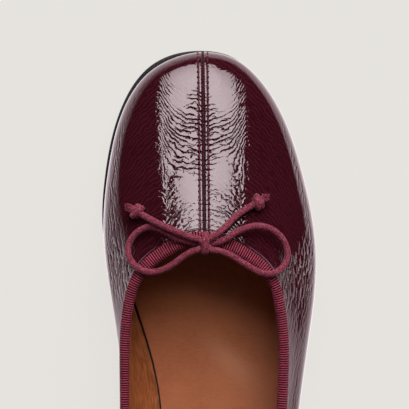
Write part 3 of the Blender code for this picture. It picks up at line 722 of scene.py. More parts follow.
# How deep the creases over the vamp are. Rows are places along the vamp, as shares of SHOE_LENGTH from
# the heel, and columns are distances from the seam, as shares of BALL_WIDTH.
CREASE_ALONG = (0.66, 0.72, 0.77, 0.81, 0.86, 0.90, 0.925, 0.98)
CREASE_AWAY = (0.02, 0.07, 0.12, 0.17, 0.20, 0.24, 0.45)
CREASE_STRENGTH = np.array(
    (
        (0.45, 0.45, 0.50, 0.50, 0.25, 0.10, 0.10),
        (0.40, 0.42, 0.50, 0.55, 0.30, 0.08, 0.08),
        (0.50, 0.45, 0.52, 0.60, 0.28, 0.06, 0.06),
        (0.90, 0.75, 0.80, 0.80, 0.22, 0.05, 0.05),
        (1.00, 1.00, 1.00, 0.80, 0.18, 0.04, 0.04),
        (1.00, 0.85, 0.70, 0.80, 0.18, 0.04, 0.04),
        (0.75, 0.50, 0.40, 0.90, 0.20, 0.02, 0.02),
        (0.05, 0.02, 0.02, 0.15, 0.05, 0.00, 0.00),
    )
)
# How the vamp's creases climb towards the toe, and how they fall back beside the throat: the distances
# from the seam where that begins and ends, the slope, and the bends per metre.
CLIMB_SLOPE = 0.27
CLIMB_BEND = 80.0
CLIMB_BENDS_AT = 0.008
CLIMB_ENDS = 0.018
FALL_BEND = 55.0
FALL_BENDS_AT = 0.0025
FALL_ENDS = 0.0160
# Behind the ball the walls' creases reach up to a slanting line on each side: its slope and start for
# the inner side, then for the outer.
WALL_LINE_SLOPES = (1.25, 1.60)
WALL_LINE_STARTS = (0.377, 0.442)
# Patches that the last keeps taut: side, distance from the seam, place along, and their half sizes.
SMOOTH_PATCHES = (
    (1.0, 0.0080, 0.7950, 0.0062, 0.0075),
    (-1.0, 0.0062, 0.7720, 0.0058, 0.0066),
    (-1.0, 0.0085, 0.9550, 0.0085, 0.0060),
    (-1.0, 0.0110, 0.9150, 0.0050, 0.0050),
    (1.0, 0.0090, 0.9250, 0.0068, 0.0110),
)
TAUT_SHARE = 0.94


def on_chart(chart, along, away):
    """A chart of CREASE_ALONG by CREASE_AWAY read between its own rows and columns, evenly."""
    rows = np.interp(along, CREASE_ALONG, np.arange(len(CREASE_ALONG)))
    columns = np.interp(away, CREASE_AWAY, np.arange(len(CREASE_AWAY)))
    row = np.clip(rows.astype(int), 0, len(CREASE_ALONG) - 2)
    column = np.clip(columns.astype(int), 0, len(CREASE_AWAY) - 2)
    down, right = rows - row, columns - column
    near = chart[row, column] * (1 - right) + chart[row, column + 1] * right
    far = chart[row + 1, column] * (1 - right) + chart[row + 1, column + 1] * right
    return near * (1 - down) + far * down


def crease_level(along, away):
    """A level that stays the same along each crease: the place on the seam that the crease comes from.

    In front, the creases climb towards the toe, at first by a little and then ever more steeply. Behind
    that they bow over and fall back beside the throat. Lengths are in metres."""
    near = np.minimum(away, CLIMB_ENDS)
    climb = CLIMB_SLOPE * near + CLIMB_BEND * np.clip(near - CLIMB_BENDS_AT, 0, None) ** 2
    far = np.minimum(away, FALL_ENDS)
    fall = FALL_BEND * np.clip(far - FALL_BENDS_AT, 0, None) ** 2
    climbs = 0.85 * smoothstep(0.70, 0.85, along) + 0.15
    falls = 1 - smoothstep(0.765, 0.855, along)
    return along * SHOE_LENGTH - climbs * climb + falls * fall


upper_share_along = (upper_points[:, :, 1] - last_shift[1]) / SHOE_LENGTH
upper_share_away = np.abs(upper_away) / BALL_WIDTH
crease_strength = on_chart(CREASE_STRENGTH, upper_share_along, upper_share_away)
for side, away, along, half_away, half_along in SMOOTH_PATCHES:
    off = ((upper_away * side - away) / half_away) ** 2
    off = off + ((upper_share_along - along) * SHOE_LENGTH / half_along) ** 2
    crease_strength = crease_strength * (1 - TAUT_SHARE * np.exp(-off * off))
# Where the creases crowd together beside the throat they are shallower too.
level_here = crease_level(upper_share_along, np.abs(upper_away))
level_next = crease_level(upper_share_along, np.abs(upper_away) + SLOPE_STEP)
level_aside = (level_next - level_here) / SLOPE_STEP
crowding = np.sqrt(1 + level_aside**2) ** smoothstep(0.84, 0.78, upper_share_along)
crease_strength = crease_strength / crowding
upright = upper_normals[:, :, 2]
inner_side = upper_away < 0
sideways = np.abs(upper_points[:, :, 0] - section(np.zeros(1))[0, 5]) / BALL_WIDTH
wall_share = np.where(inner_side, smoothstep(0.82, 0.70, upright), smoothstep(0.74, 0.60, upright))
line_slope = np.where(inner_side, *WALL_LINE_SLOPES)
line_start = np.where(inner_side, *WALL_LINE_STARTS)
past_line = sideways - line_start - line_slope * (upper_share_along - 0.68)
behind_ball = smoothstep(0.76, 0.70, upper_share_along)
wall_share = np.maximum(wall_share, smoothstep(-0.03, 0.03, past_line) * behind_ball)
# They are weaker at the toe, down on the upright part and towards the heel, a little deeper beside the
# throat, and a few run in beside the bow.
wall_strength = wall_share * (0.15 + 0.85 * smoothstep(0.93, 0.80, upper_share_along))
wall_strength = wall_strength * (0.25 + 0.75 * smoothstep(0.42, 0.66, upright))
wall_strength = wall_strength * (0.25 + 0.75 * smoothstep(0.55, 0.64, upper_share_along))
wall_strength = wall_strength * (1 + 0.5 * bump_at(upper_share_along, 0.65, 0.05))
beside_bow = bump_at(upper_share_along, 0.66, 0.045) * bump_at(sideways, 0.33, 0.06)
wall_strength = np.maximum(wall_strength, 0.35 * beside_bow)
# Small pebbles lie in a strip on each side, where the vamp turns down.
edge_reach = 0.045 + 0.030 * smoothstep(0.77, 0.84, upper_share_along)
edge_turn = smoothstep(1.0, 0.27, np.abs(upper_share_away - 0.200) / edge_reach)
edge_turn = edge_turn * smoothstep(0.96, 0.91, upper_share_along)


def stacked(*parts):
    """One vector for each point from three arrays or values."""
    return np.stack(np.broadcast_arrays(*parts), axis=-1)


vamp_strength = crease_strength * (1 - wall_share)
set_attribute(patent_upper, "crease_masks", stacked(vamp_strength, wall_strength, edge_turn))
set_attribute(patent_upper, "crease_level", level_here)
from_toe = np.minimum(upper_places, last_around - upper_places)[:, None]
wall_height = upper_climb + 0.1 * (upper_places > last_around / 2)[:, None]
set_attribute(patent_upper, "wall_place", stacked(from_toe, wall_height, upper_climb[0] - STITCH_START))
set_attribute(patent_upper, "flat_place", stacked(upper_away, upper_points[:, :, 1], 0.0))
set_attribute(patent_upper, "to_collar", upper_to_collar)


def crease_group():
    """Shared leather creases: one soft valley at every whole number of Level over Spacing, made wavy by
    noise, and each broken into its own short lengths.

    Inputs: Place, a vector for the noises; Level, Spacing, Length and Half Width in metres; Waviness in
    spacings; Kept, the share of each crease that is there. Output: Valley, from 0 to 1."""
    group = bpy.data.node_groups.new("soft_creases", "ShaderNodeTree")
    group.interface.new_socket("Place", in_out="INPUT", socket_type="NodeSocketVector")
    for name in ("Level", "Spacing", "Length", "Half Width", "Waviness", "Kept"):
        group.interface.new_socket(name, in_out="INPUT", socket_type="NodeSocketFloat")
    group.interface.new_socket("Valley", in_out="OUTPUT", socket_type="NodeSocketFloat")
    given = add(group, "NodeGroupInput").outputs
    broad = noise(group, given["Place"], 190.0, 1.0, 0.5)
    close = noise(group, given["Place"], 620.0, 1.0, 0.5)
    waves = maths(group, "MULTIPLY_ADD", close, 0.35, broad)
    waves = maths(group, "MULTIPLY", maths(group, "SUBTRACT", waves, 0.675), given["Waviness"])
    count = maths(group, "ADD", maths(group, "DIVIDE", given["Level"], given["Spacing"]), waves)
    whole = maths(group, "ROUND", count)
    off = maths(group, "ABSOLUTE", maths(group, "SUBTRACT", count, whole))
    off = maths(group, "MULTIPLY", off, given["Spacing"])
    place = parts_of(group, given["Place"])
    along = maths(group, "DIVIDE", place["X"], given["Length"])
    across = maths(group, "DIVIDE", place["Y"], given["Length"])
    own = vector_of(group, X=along, Y=across, Z=maths(group, "MULTIPLY", whole, 3.7))
    breaks = noise(group, own, 1.0, 1.5, 0.6)
    here = maths(group, "ADD", breaks, maths(group, "SUBTRACT", given["Kept"], 1.0))
    ends = {"Value": here, "From Min": -0.04, "From Max": 0.10}
    here = add(group, "ShaderNodeMapRange", ends).outputs["Result"]
    reach = maths(group, "MULTIPLY", given["Half Width"], maths(group, "MULTIPLY_ADD", here, 0.7, 0.3))
    ends = {"Value": off, "From Min": reach, "From Max": 0.0}
    valley = add(group, "ShaderNodeMapRange", ends).outputs["Result"]
    valley = maths(group, "POWER", valley, 1.35)
    add(group, "NodeGroupOutput", {"Valley": maths(group, "MULTIPLY", valley, here)})
    return group


soft_creases = crease_group()


def creases(tree, place, level, spacing, length, half_width, waviness, kept):
    """The valleys of one set of creases."""
    inputs = {"Place": place, "Level": level, "Spacing": spacing, "Length": length}
    inputs.update({"Half Width": half_width, "Waviness": waviness, "Kept": kept})
    return add(tree, "ShaderNodeGroup", inputs, node_tree=soft_creases).outputs["Valley"]


def hypotenuse(tree, a, b):
    """The length of a step of a and b at right angles."""
    squares = maths(tree, "MULTIPLY_ADD", a, a, maths(tree, "MULTIPLY", b, b))
    return maths(tree, "SQRT", squares)


def patent_finish():
    """Crinkled patent leather: a deep burgundy under a hard clear film. The vamp's creases follow their
    level, a finer set crosses them, and the walls have long and slanting ones. Fans of pale streaks are
    painted into the colour as reflection, the vamp's crease valleys are painted darker as shade, and the
    needle holes are painted near black as shade."""
    material, tree, shader = new_finish("patent_leather")
    flat = attribute(tree, "flat_place", "Vector")
    on_flat = parts_of(tree, flat)
    away = maths(tree, "ABSOLUTE", on_flat["X"])
    level = attribute(tree, "crease_level")
    masks = parts_of(tree, attribute(tree, "crease_masks", "Vector"))

    # Creases over the vamp.
    bold = creases(tree, flat, level, *BOLD_CREASES)
    tilted = maths(tree, "MULTIPLY_ADD", away, 0.45, level)
    crossing = creases(tree, flat, tilted, *CROSSING_CREASES)
    vamp = maths(tree, "MULTIPLY", maths(tree, "MULTIPLY_ADD", crossing, 0.7, bold), masks["X"])

    # Creases along the walls: long ones, slanting ones and soft drawn lines.
    wall = parts_of(tree, attribute(tree, "wall_place", "Vector"))
    stretched = vector_of(tree, X=maths(tree, "MULTIPLY", wall["X"], 0.5), Y=wall["Y"])
    slant = maths(tree, "MULTIPLY_ADD", wall["X"], 0.12, wall["Y"])
    long_creases = creases(tree, stretched, slant, *LONG_CREASES)
    own = parts_of(tree, object_place(tree))
    out_and_down = maths(tree, "MULTIPLY_ADD", own["Z"], -0.8, maths(tree, "ABSOLUTE", own["X"]))
    steeper = maths(tree, "MULTIPLY_ADD", own["Y"], -0.40, out_and_down)
    side = maths(tree, "SIGN", own["X"])
    beside = vector_of(tree, X=out_and_down, Y=maths(tree, "MULTIPLY", own["Y"], 0.6), Z=side)
    slant_creases = creases(tree, beside, steeper, *SLANT_CREASES)
    drawn = vector_of(tree, X=maths(tree, "MULTIPLY", wall["X"], 0.3), Y=wall["Y"])
    drawn = noise(tree, drawn, 300.0, 1.0, 0.5, 0.8)
    walls = maths(tree, "MULTIPLY_ADD", slant_creases, 1.15, maths(tree, "MULTIPLY", long_creases, 0.5))
    walls = maths(tree, "ADD", drawn, walls)
    height = maths(tree, "MULTIPLY_ADD", walls, masks["Y"], vamp)

    # Needle holes beside the toe seam, and the ridge where the hem is folded in.
    climb = maths(tree, "DIVIDE", wall["Z"], STITCH_PITCH)
    between = maths(tree, "ABSOLUTE", maths(tree, "SUBTRACT", climb, maths(tree, "ROUND", climb)))
    off_row = maths(tree, "SUBTRACT", away, STITCH_ROW_AT)
    from_hole = hypotenuse(tree, off_row, maths(tree, "MULTIPLY", between, STITCH_PITCH))
    holes = remap(tree, from_hole, 0.00055, 0.00025)
    height = maths(tree, "MULTIPLY_ADD", holes, 3.0, height)
    off_ridge = maths(tree, "SUBTRACT", attribute(tree, "to_collar"), HEM_RIDGE_AT)
    ridge = remap(tree, maths(tree, "ABSOLUTE", off_ridge), HEM_RIDGE_HALF, 0.0)
    height = maths(tree, "MULTIPLY_ADD", ridge, -0.9, height)
    creased = relief(tree, maths(tree, "MULTIPLY", height, -1.0), CREASE_DEPTH)

    # Ripples of the film and pebbles under it, then the colours.
    cells = noise(tree, flat, 820.0, 1.0)
    ripple = noise(tree, flat, 170.0, 2.0, 0.55, 0.5)
    pebbled = maths(tree, "MULTIPLY", cells, maths(tree, "MULTIPLY_ADD", masks["Z"], 0.95, 0.05))
    bumps = maths(tree, "MULTIPLY_ADD", ripple, 1.6, pebbled)
    bumps = {"Height": bumps, "Distance": PEBBLE_DEPTH, "Normal": creased}
    normal = add(tree, "ShaderNodeBump", bumps).outputs["Normal"]
    tone = noise(tree, object_place(tree), 45.0, 3.0)
    colour = blend_colours(tree, remap(tree, tone, 0.3, 0.7, 0.0, 0.5), PATENT_COLOUR, PATENT_DEEP_AND_CREASE_SHADE)
    # Painted reflection: pale streaks fanning over the vamp, in the colour only.
    fanned = maths(tree, "MULTIPLY_ADD", away, 0.75, on_flat["Y"])
    painted_reflections = creases(tree, flat, fanned, *PAINTED_REFLECTION_FANS)
    colour = blend_colours(tree, maths(tree, "MULTIPLY", painted_reflections, 0.60), colour, PAINTED_REFLECTION_COLOUR)
    # Painted shade: the vamp's crease valleys are darkened in the colour.
    colour = blend_colours(tree, maths(tree, "MULTIPLY", vamp, 0.9), colour, PATENT_DEEP_AND_CREASE_SHADE)
    # Painted shade: the needle holes are near black.
    colour = blend_colours(tree, holes, colour, HOLE_SHADE_PAINT)
    in_groove = remap(tree, away, SEAM_GROOVE_HALF, SEAM_GROOVE_HALF * 0.7)
    rough = maths(tree, "MAXIMUM", remap(tree, ripple, 0.3, 0.7, 0.04, 0.08), in_groove)
    feed(tree, shader, {"Base Color": colour, "Roughness": rough, "Normal": normal})
    feed(tree, shader, {"IOR": FILM_IOR, "Specular Tint": (*FILM_TINT, 1.0)})
    return material


patent = patent_finish()
patent_upper.data.materials.append(patent)
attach(patent_upper, "root")
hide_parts("upper")


# Lining
# Tan leather inside the upper, glued to it and closed with it under the tape. Its grain is drawn into
# lines along the sides, and it ends in the gap beside the insole.

LINING_LIGHT = (0.37, 0.112, 0.038)
LINING_DARK = (0.31, 0.086, 0.028)
LINING_GRAIN = {
    "roughness": 0.5,
    "depth": 0.00009,
    "line_scale": 800.0,
    "line_depth": 2.4,
    "line_contrast": 1.9,
}
LINING_GRAIN_ALONG = 0.22
LINING_COLUMNS = 360
LINING_ROWS = 80
lining_places = np.linspace(0, last_around, LINING_COLUMNS, endpoint=False)
lining_rows = np.linspace(0, 2, LINING_ROWS)
lining_points = form(lining_places, lining_rows) - form_normals(lining_places, lining_rows) * WALL
lining_faces = grid_faces(len(lining_places), len(lining_rows))[:, ::-1]
lining = link_mesh("tan_lining", lining_points, lining_faces)
lining_round = np.minimum(lining_places, last_around - lining_places)[:, None] * LINING_GRAIN_ALONG
set_attribute(lining, "grain_run", stacked(lining_round, distance_along(lining_points), 0.0))
lining.data.materials.append(tan_finish("lining_leather", LINING_LIGHT, LINING_DARK, **LINING_GRAIN))
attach(lining, "root")
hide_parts("upper")


# Toe seam stitches
# Two rows of thick burgundy thread beside the seam, one on each bead's outer foot, and the cross bars of
# the closing stitch over one near-black strand down in the groove, laid there as painted shade.

STITCH_LENGTH = 0.0016
STITCH_END = 0.0048
THREAD_RADIUS = 0.00024
BAR_PITCH = 0.0023
BAR_LENGTH = 0.0010
BAR_RADIUS = 0.00011
BAR_START = 0.002
BAR_END = 0.0052
THREAD_COLOUR = (0.300, 0.040, 0.085)
THREAD_DARK = (0.120, 0.012, 0.030)
FILLER_RADIUS = 0.00034
FILLER_LIFT = 0.00024
FILLER_START = 0.001
FILLER_END = 0.0042
# Near-black colours of the groove's strand, which is painted shade.
GROOVE_SHADE_COLOUR = (0.060, 0.0050, 0.0110)
GROOVE_SHADE_DARK = (0.018, 0.0015, 0.0040)
stitch_rows = np.linspace(0.6, 2, 900)


def seam_path(offset):
    """The upper's surface beside the seam at a distance from it: points, directions up the section,
    outward directions and the climb from the lower edge."""
    t = np.array([offset])
    points = form(t, stitch_rows)[0]
    normals = form_normals(t, stitch_rows)[0]
    away = np.full((1, len(stitch_rows)), offset)
    climb = distance_along(points[None])
    lifted = points + normals * seam_relief(away, climb[:, -1:] - climb)[0][:, None]
    return lifted, unit(np.gradient(lifted, axis=0)), normals, climb[0]


def circles(across, ups, sides):
    """Circles of radius 1 square to across and ups, as an array of sides by circles."""
    turn = np.arange(sides) * 2 * math.pi / sides
    return np.cos(turn)[:, None, None] * across + np.sin(turn)[:, None, None] * ups


def capsules(centres, runs, ups, length, radius, sides=8, bands=6):
    """Rounded stitches as one array of points: for each, rings along its run whose radius follows a
    half circle at both ends."""
    angles = np.linspace(0, math.pi, bands + 1)
    half = np.where(np.arange(bands + 1) > bands / 2, 1, -1) * (length / 2 - radius)
    reach = -np.cos(angles) * radius + half
    size = np.maximum(np.sin(angles), 0.02) * radius
    points = centres[None, None] + reach[:, None, None, None] * runs[None, None]
    ring = circles(np.cross(runs, ups), ups, sides)
    return np.moveaxis(points + size[:, None, None, None] * ring[None], 2, 0)


def strand_faces(count, bands, sides):
    """The faces of a number of closed strands, each with its bands of sides points."""
    quads = grid_faces(bands, sides, close_columns=False, close_rows=True)
    faces = (quads[None] + (np.arange(count) * bands * sides)[:, None, None]).reshape(-1, 4)
    faces = [tuple(face) for face in faces]
    for first in range(0, count * bands * sides, bands * sides):
        last = first + (bands - 1) * sides
        faces.append(tuple(range(first, first + sides)))
        faces.append(tuple(reversed(range(last, last + sides))))
    return faces


def stitch_object(name, stitches):
    """One object from an array of stitches by bands by sides."""
    piece = link_mesh(name, stitches, strand_faces(*stitches.shape[:3]))
    merge_close(piece, 1e-7)
    return piece


def thread_finish(name, light, dark):
    """Waxed thread: a burgundy twist with darker strands."""
    material, tree, shader = new_finish(name)
    fibres = noise(tree, object_place(tree), 3000.0, 2.0)
    colour = blend_colours(tree, remap(tree, fibres, 0.3, 0.7), dark, light)
    feed(tree, shader, {"Base Color": colour, "Normal": relief(tree, fibres, 0.00006)})
    feed(tree, shader, {"Roughness": 0.6, "Specular IOR Level": 0.2})
    return material


thread = thread_finish("stitch_thread", THREAD_COLOUR, THREAD_DARK)


def along_path(path, pitch, start, stop):
    """Places on a path every pitch between two distances from its start: centres, runs and ups."""
    *lines, climb = path
    at = np.arange(start, stop, pitch)
    return [np.column_stack([np.interp(at, climb, line[:, axis]) for axis in range(3)]) for line in lines]


seam_stitches = []
for side in (-1, 1):
    seam_line = seam_path(side * STITCH_ROW_AT)
    seam_end = seam_line[3][-1] - STITCH_END
    centres, runs, ups = along_path(seam_line, STITCH_PITCH, STITCH_START + STITCH_PITCH / 2, seam_end)
    centres = centres + ups * THREAD_RADIUS * 0.15
    seam_stitches.append(capsules(centres, runs, ups, STITCH_LENGTH, THREAD_RADIUS))
groove_line = seam_path(0.0)
groove_end = groove_line[3][-1]
centres, runs, ups = along_path(groove_line, BAR_PITCH, BAR_START, groove_end - BAR_END)
centres = centres + ups * (FILLER_LIFT + FILLER_RADIUS)
seam_stitches.append(capsules(centres, np.cross(runs, ups), ups, BAR_LENGTH, BAR_RADIUS))
toe_stitches = stitch_object("toe_seam_stitches", np.concatenate(seam_stitches))
toe_stitches.data.materials.append(thread)
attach(toe_stitches, "root")

# One long near-black strand fills the groove under the bars: painted shade for the groove's darkness.
centres, runs, ups = along_path(groove_line, FILLER_RADIUS, FILLER_START, groove_end - FILLER_END)
filler_rings = FILLER_RADIUS * circles(np.cross(runs, ups), ups, 8)
filler_points = (centres + ups * FILLER_LIFT)[:, None] + np.moveaxis(filler_rings, 0, 1)
filler = stitch_object("toe_seam_groove_shade", filler_points[None])
filler.data.materials.append(thread_finish("groove_shade_strand", GROOVE_SHADE_COLOUR, GROOVE_SHADE_DARK))
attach(filler, "root")


# Collar tape
# Ribbed grosgrain, folded over the collar's edge and stitched through near its outer hem. The ribs run
# across it, and the drawn edge hides the raw leather.

BINDING_THICKNESS = 0.0007
BINDING_DEPTH = 0.0036
BINDING_ROLL = 0.0009
RIB_PITCH = 0.000945
RIB_DEPTH = 0.00026
POINTS_PER_RIB = 8
# How far below the collar the skin's direction up to it is read.
COLLAR_STEP = 0.0005
TAPE_COLOUR = (0.500, 0.072, 0.125)
# Near black: painted shade between the ribs, and slow darker patches of tone.
TAPE_DEEP_AND_RIB_SHADE = (0.020, 0.0015, 0.0045)


def below_collar(t, distance):
    """Points of the form at a distance down from the collar, and the directions out of it there."""
    v = np.linspace(1.2, 2, 60)
    surface, normals = form(t, v), form_normals(t, v)
    climb = distance_along(surface)
    left = climb[:, -1:] - climb
    rows = np.arange(len(t))
    upper = np.argmax(left <= distance, axis=1)
    lower = np.maximum(upper - 1, 0)
    span = np.maximum(left[rows, lower] - left[rows, upper], 1e-12)
    share = ((left[rows, lower] - distance) / span)[:, None]
    point = surface[rows, lower] * (1 - share) + surface[rows, upper] * share
    return point, unit(normals[rows, lower] * (1 - share) + normals[rows, upper] * share)


def step_square(t, distance):
    """How far a place t must move round the shoe for its point at a distance below the collar to lie
    straight across the tape from it: the step along the collar is taken out, over and over."""
    run = (section(t + SLOPE_STEP) - section(t - SLOPE_STEP))[:, 5:8] / (2 * SLOPE_STEP)
    speed = np.linalg.norm(run, axis=1)
    start = section(t)[:, 5:8]
    moved = t
    for _ in range(4):
        off = ((below_collar(moved, distance)[0] - start) * run).sum(1) / speed
        moved = moved - off / speed
    return moved - t


def tape_profile():
    """The folded tape's outline, from its outer hem over the roll to its inner hem and back inside, as
    (distance below the collar, distance out of the outside face, how much the ribs show)."""
    outer, inner, skin = GAP, -WALL - GAP, BINDING_THICKNESS
    half, middle = (outer - inner) / 2 + skin, (outer + inner) / 2
    leg = BINDING_DEPTH * 0.97
    profile = [(BINDING_DEPTH, outer, 0.0), (BINDING_DEPTH, outer + skin * 0.6, 0.3)]
    for share in np.linspace(0, 1, 7)[:-1]:
        profile.append((leg * (1 - share), outer + skin * min(1, 0.75 + 1.5 * share), 1.0))
    for angle in np.linspace(0, math.pi, 13):
        roll = -(BINDING_ROLL + skin) * math.sin(angle)
        profile.append((roll, middle + half * math.cos(angle), 1.0))
    profile += [(leg * share, inner - skin, 1.0) for share in np.linspace(0, 1, 6)[1:]]
    profile += [(BINDING_DEPTH, inner, 0.0), (0.0, inner, 0.0), (0.0, outer, 0.0)]
    return profile


def collar_spacing(count):
    """Places round the shoe that are evenly spaced along the collar itself."""
    t = np.linspace(0, last_around, 4001)
    run = distance_along(section(t)[:, 5:8])
    return np.interp(np.linspace(0, run[-1], count, endpoint=False), run, t), run[-1]


collar_length = collar_spacing(8)[1]
rib_count = round(collar_length / RIB_PITCH)
tape_places = collar_spacing(rib_count * POINTS_PER_RIB)[0]
rib_wave = np.cos(np.arange(len(tape_places)) * 2 * math.pi / POINTS_PER_RIB)
rib_wave = np.sqrt(0.5 + 0.5 * rib_wave)
# The places of the tape's points move round the shoe as they go down, so that the ribs stay square.
tape_shift = step_square(tape_places, BINDING_DEPTH) / BINDING_DEPTH
collar_top, collar_facing = below_collar(tape_places, 0.0)
collar_climb = unit(collar_top - below_collar(tape_places + tape_shift * COLLAR_STEP, COLLAR_STEP)[0])
tape_rings, tape_ribs = [], []
tape_middle = -WALL / 2
for below, out, ribs in tape_profile():
    if below > 0:
        base, facing = below_collar(tape_places + tape_shift * below, below)
        swell = facing * np.sign(out - tape_middle)
    else:
        base, facing = collar_top - collar_climb * below, collar_facing
        level = -below / (BINDING_ROLL + BINDING_THICKNESS)
        swell = facing * np.sign(out - tape_middle) * math.sqrt(max(0.0, 1 - level**2))
        swell = swell + collar_climb * level
    height = (rib_wave - 0.6) * RIB_DEPTH * ribs
    tape_rings.append(base + facing * out + swell * height[:, None])
    tape_ribs.append(rib_wave * ribs)
tape_points = np.stack(tape_rings, axis=1)
tape_faces = grid_faces(len(tape_places), tape_points.shape[1], close_rows=True)[:, ::-1]
tape = link_mesh("grosgrain_collar", tape_points, tape_faces)
set_attribute(tape, "rib", np.stack(tape_ribs, axis=1))


def grosgrain_finish():
    """Ribbed ribbon: painted shade between the ribs, slow darker patches of tone, and a fine fuzz."""
    material, tree, shader = new_finish("grosgrain")
    place = object_place(tree)
    rib = attribute(tree, "rib")
    threads = noise(tree, place, 4200.0, 2.0)
    tone = noise(tree, place, 240.0, 3.0)
    # Painted shade: the colour darkens between the ribs.
    lit = blend_colours(tree, remap(tree, rib, 0.45, 1.0), TAPE_DEEP_AND_RIB_SHADE, TAPE_COLOUR)
    colour = blend_colours(tree, remap(tree, tone, 0.25, 0.75, 0.0, 0.30), lit, TAPE_DEEP_AND_RIB_SHADE)
    feed(tree, shader, {"Base Color": colour, "Normal": relief(tree, threads, 0.00005)})
    feed(tree, shader, {"Roughness": 0.8, "Specular IOR Level": 0.1})
    feed(tree, shader, {"Sheen Weight": 0.06, "Sheen Roughness": 0.4})
    return material


tape.data.materials.append(grosgrain_finish())
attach(tape, "root")
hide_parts("collar_binding")


# Collar stitches
# One row of small stitches along the tape's outer hem, which hold the tape, the leather and the lining.

HEM_PITCH = 0.0022
HEM_STITCH = 0.0013
HEM_RADIUS = 0.00018
HEM_BELOW_TAPE = 0.00035
HEM_LIFT = 0.0001
hem_count = round(collar_length / HEM_PITCH)
hem_places = collar_spacing(hem_count)[0]
hem_on, hem_up = below_collar(hem_places, BINDING_DEPTH + HEM_BELOW_TAPE)
hem_run = unit(np.roll(hem_on, -1, axis=0) - np.roll(hem_on, 1, axis=0))
hem_stitches = capsules(hem_on + hem_up * HEM_LIFT, hem_run, hem_up, HEM_STITCH, HEM_RADIUS)
collar_stitches = stitch_object("collar_stitches", hem_stitches)
collar_stitches.data.materials.append(thread)
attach(collar_stitches, "root")


# Bow
# One round woven cord comes out of the tape at the throat and is tied in a small bow. Each half of it
# runs from the wrap round a loop, back under the wrap and out as the other side's tail.

CORD_DIAMETER = 0.0026
CORD_EASE = 0.0024
LAYING_STEP = 0.0006
TAIL_END_SLOPE = 0.15
BOW_KNOT_HALF = (0.0016, 0.0046, 0.0028)
BOW_KNOT_INTO_OPENING = 0.0009
TAIL_KNOT_HALF = (0.0026, 0.0034, 0.0026)
CORD_SIDES = 36
CORD_STEP = 0.00017
BRAID_DEPTH = 0.00006
BRAID_PITCH = 0.00100
CORD_COLOUR = (0.400, 0.070, 0.120)
# Pale pink, painted in specks as the highlight that the fuzz catches.
CORD_FUZZ_HIGHLIGHT_PAINT = (0.720, 0.300, 0.370)
# Dark burgundy for darker fibres, and painted shade in the weave's valleys.
CORD_DEEP_AND_VALLEY_SHADE = (0.110, 0.011, 0.024)

# The routes, from the middle of the knot, as the solids have them. A cord rests on the upper wherever
# its own height would sink it.
LOOP_OUTER = (
    (0.0022, -0.0004, -0.0013),
    (0.0050, 0.0002, -0.0013),
    (0.0090, 0.0019, -0.0013),
    (0.0126, 0.0043, -0.0020),
    (0.0172, 0.0062, -0.0032),
    (0.0218, 0.0068, -0.0046),
    (0.0264, 0.0056, -0.0061),
    (0.0304, 0.0026, -0.0071),
    (0.0325, -0.0008, -0.0076),
    (0.0333, -0.0042, -0.0074),
    (0.0325, -0.0079, -0.0066),
    (0.0304, -0.0106, -0.0051),
    (0.0264, -0.0123, -0.0035),
    (0.0224, -0.0119, -0.0023),
    (0.0187, -0.0100, -0.0013),
    (0.0141, -0.0072, -0.0006),
    (0.0096, -0.0045, 0.0000),
    (0.0056, -0.0031, 0.0003),
    (0.0024, -0.0026, 0.0005),
)
LOOP_INNER = (
    (-0.0022, -0.0003, -0.0013),
    (-0.0050, 0.0002, -0.0013),
    (-0.0080, 0.0009, -0.0013),
    (-0.0126, 0.0028, -0.0020),
    (-0.0177, 0.0055, -0.0034),
    (-0.0209, 0.0064, -0.0046),
    (-0.0233, 0.0062, -0.0055),
    (-0.0264, 0.0047, -0.0065),
    (-0.0294, 0.0016, -0.0074),
    (-0.0308, -0.0020, -0.0076),
    (-0.0304, -0.0057, -0.0068),
    (-0.0288, -0.0082, -0.0058),
    (-0.0258, -0.0106, -0.0042),
    (-0.0209, -0.0117, -0.0028),
    (-0.0172, -0.0109, -0.0019),
    (-0.0126, -0.0085, -0.0010),
    (-0.0080, -0.0051, -0.0002),
    (-0.0050, -0.0034, 0.0003),
    (-0.0024, -0.0026, 0.0005),
)
TAIL_OUTER = (
    (0.0022, 0.0020, 0.0013),
    (0.0050, 0.0038, 0.0008),
    (0.0081, 0.0063, -0.0012),
    (0.0111, 0.0093, -0.0040),
    (0.0142, 0.0120, -0.0066),
    (0.0184, 0.0146, -0.0090),
)
TAIL_INNER = (
    (-0.0022, 0.0016, 0.0017),
    (-0.0050, 0.0022, 0.0017),
    (-0.0080, 0.0033, 0.0015),
    (-0.0110, 0.0045, 0.0010),
    (-0.0142, 0.0058, -0.0002),
    (-0.0177, 0.0074, -0.0030),
    (-0.0205, 0.0088, -0.0058),
    (-0.0243, 0.0108, -0.0095),
)

rest_places = np.linspace(0, last_around, 480, endpoint=False)
rest_upper = form(rest_places, np.linspace(1, 2, 90)).reshape(-1, 3)
resting_points = np.concatenate([rest_upper, tape_points[::3].reshape(-1, 3)])


def rest_height(x, y, half, turn=0.0):
    """Height of an ellipsoid's centre that lies at x, y on the points under it: the highest of each
    point's height plus the ellipsoid's own height over it."""
    along, across = turned_shares(resting_points[:, :2] - (x, y), turn, half[0], half[1])
    left = 1 - along**2 - across**2
    under = left > 0
    if not under.any():
        return -1.0
    return float((resting_points[under, 2] + half[2] * np.sqrt(left[under])).max())


def smooth_route(points, every):
    """A smooth open curve through the points: cubics whose end directions are the neighbours' chords."""
    points = np.array(points, float)
    knots = distance_along(points)
    steps = np.diff(knots)
    slopes = np.gradient(points, knots, axis=0)
    fine = []
    for i, step in enumerate(steps):
        share = np.linspace(0, 1, 40, endpoint=i == len(steps) - 1)[:, None]
        first = points[i] + slopes[i] * step / 3
        second = points[i + 1] - slopes[i + 1] * step / 3
        fine.append(bezier(points[i], first, second, points[i + 1], share))
    return evenly_spaced(np.concatenate(fine), every)


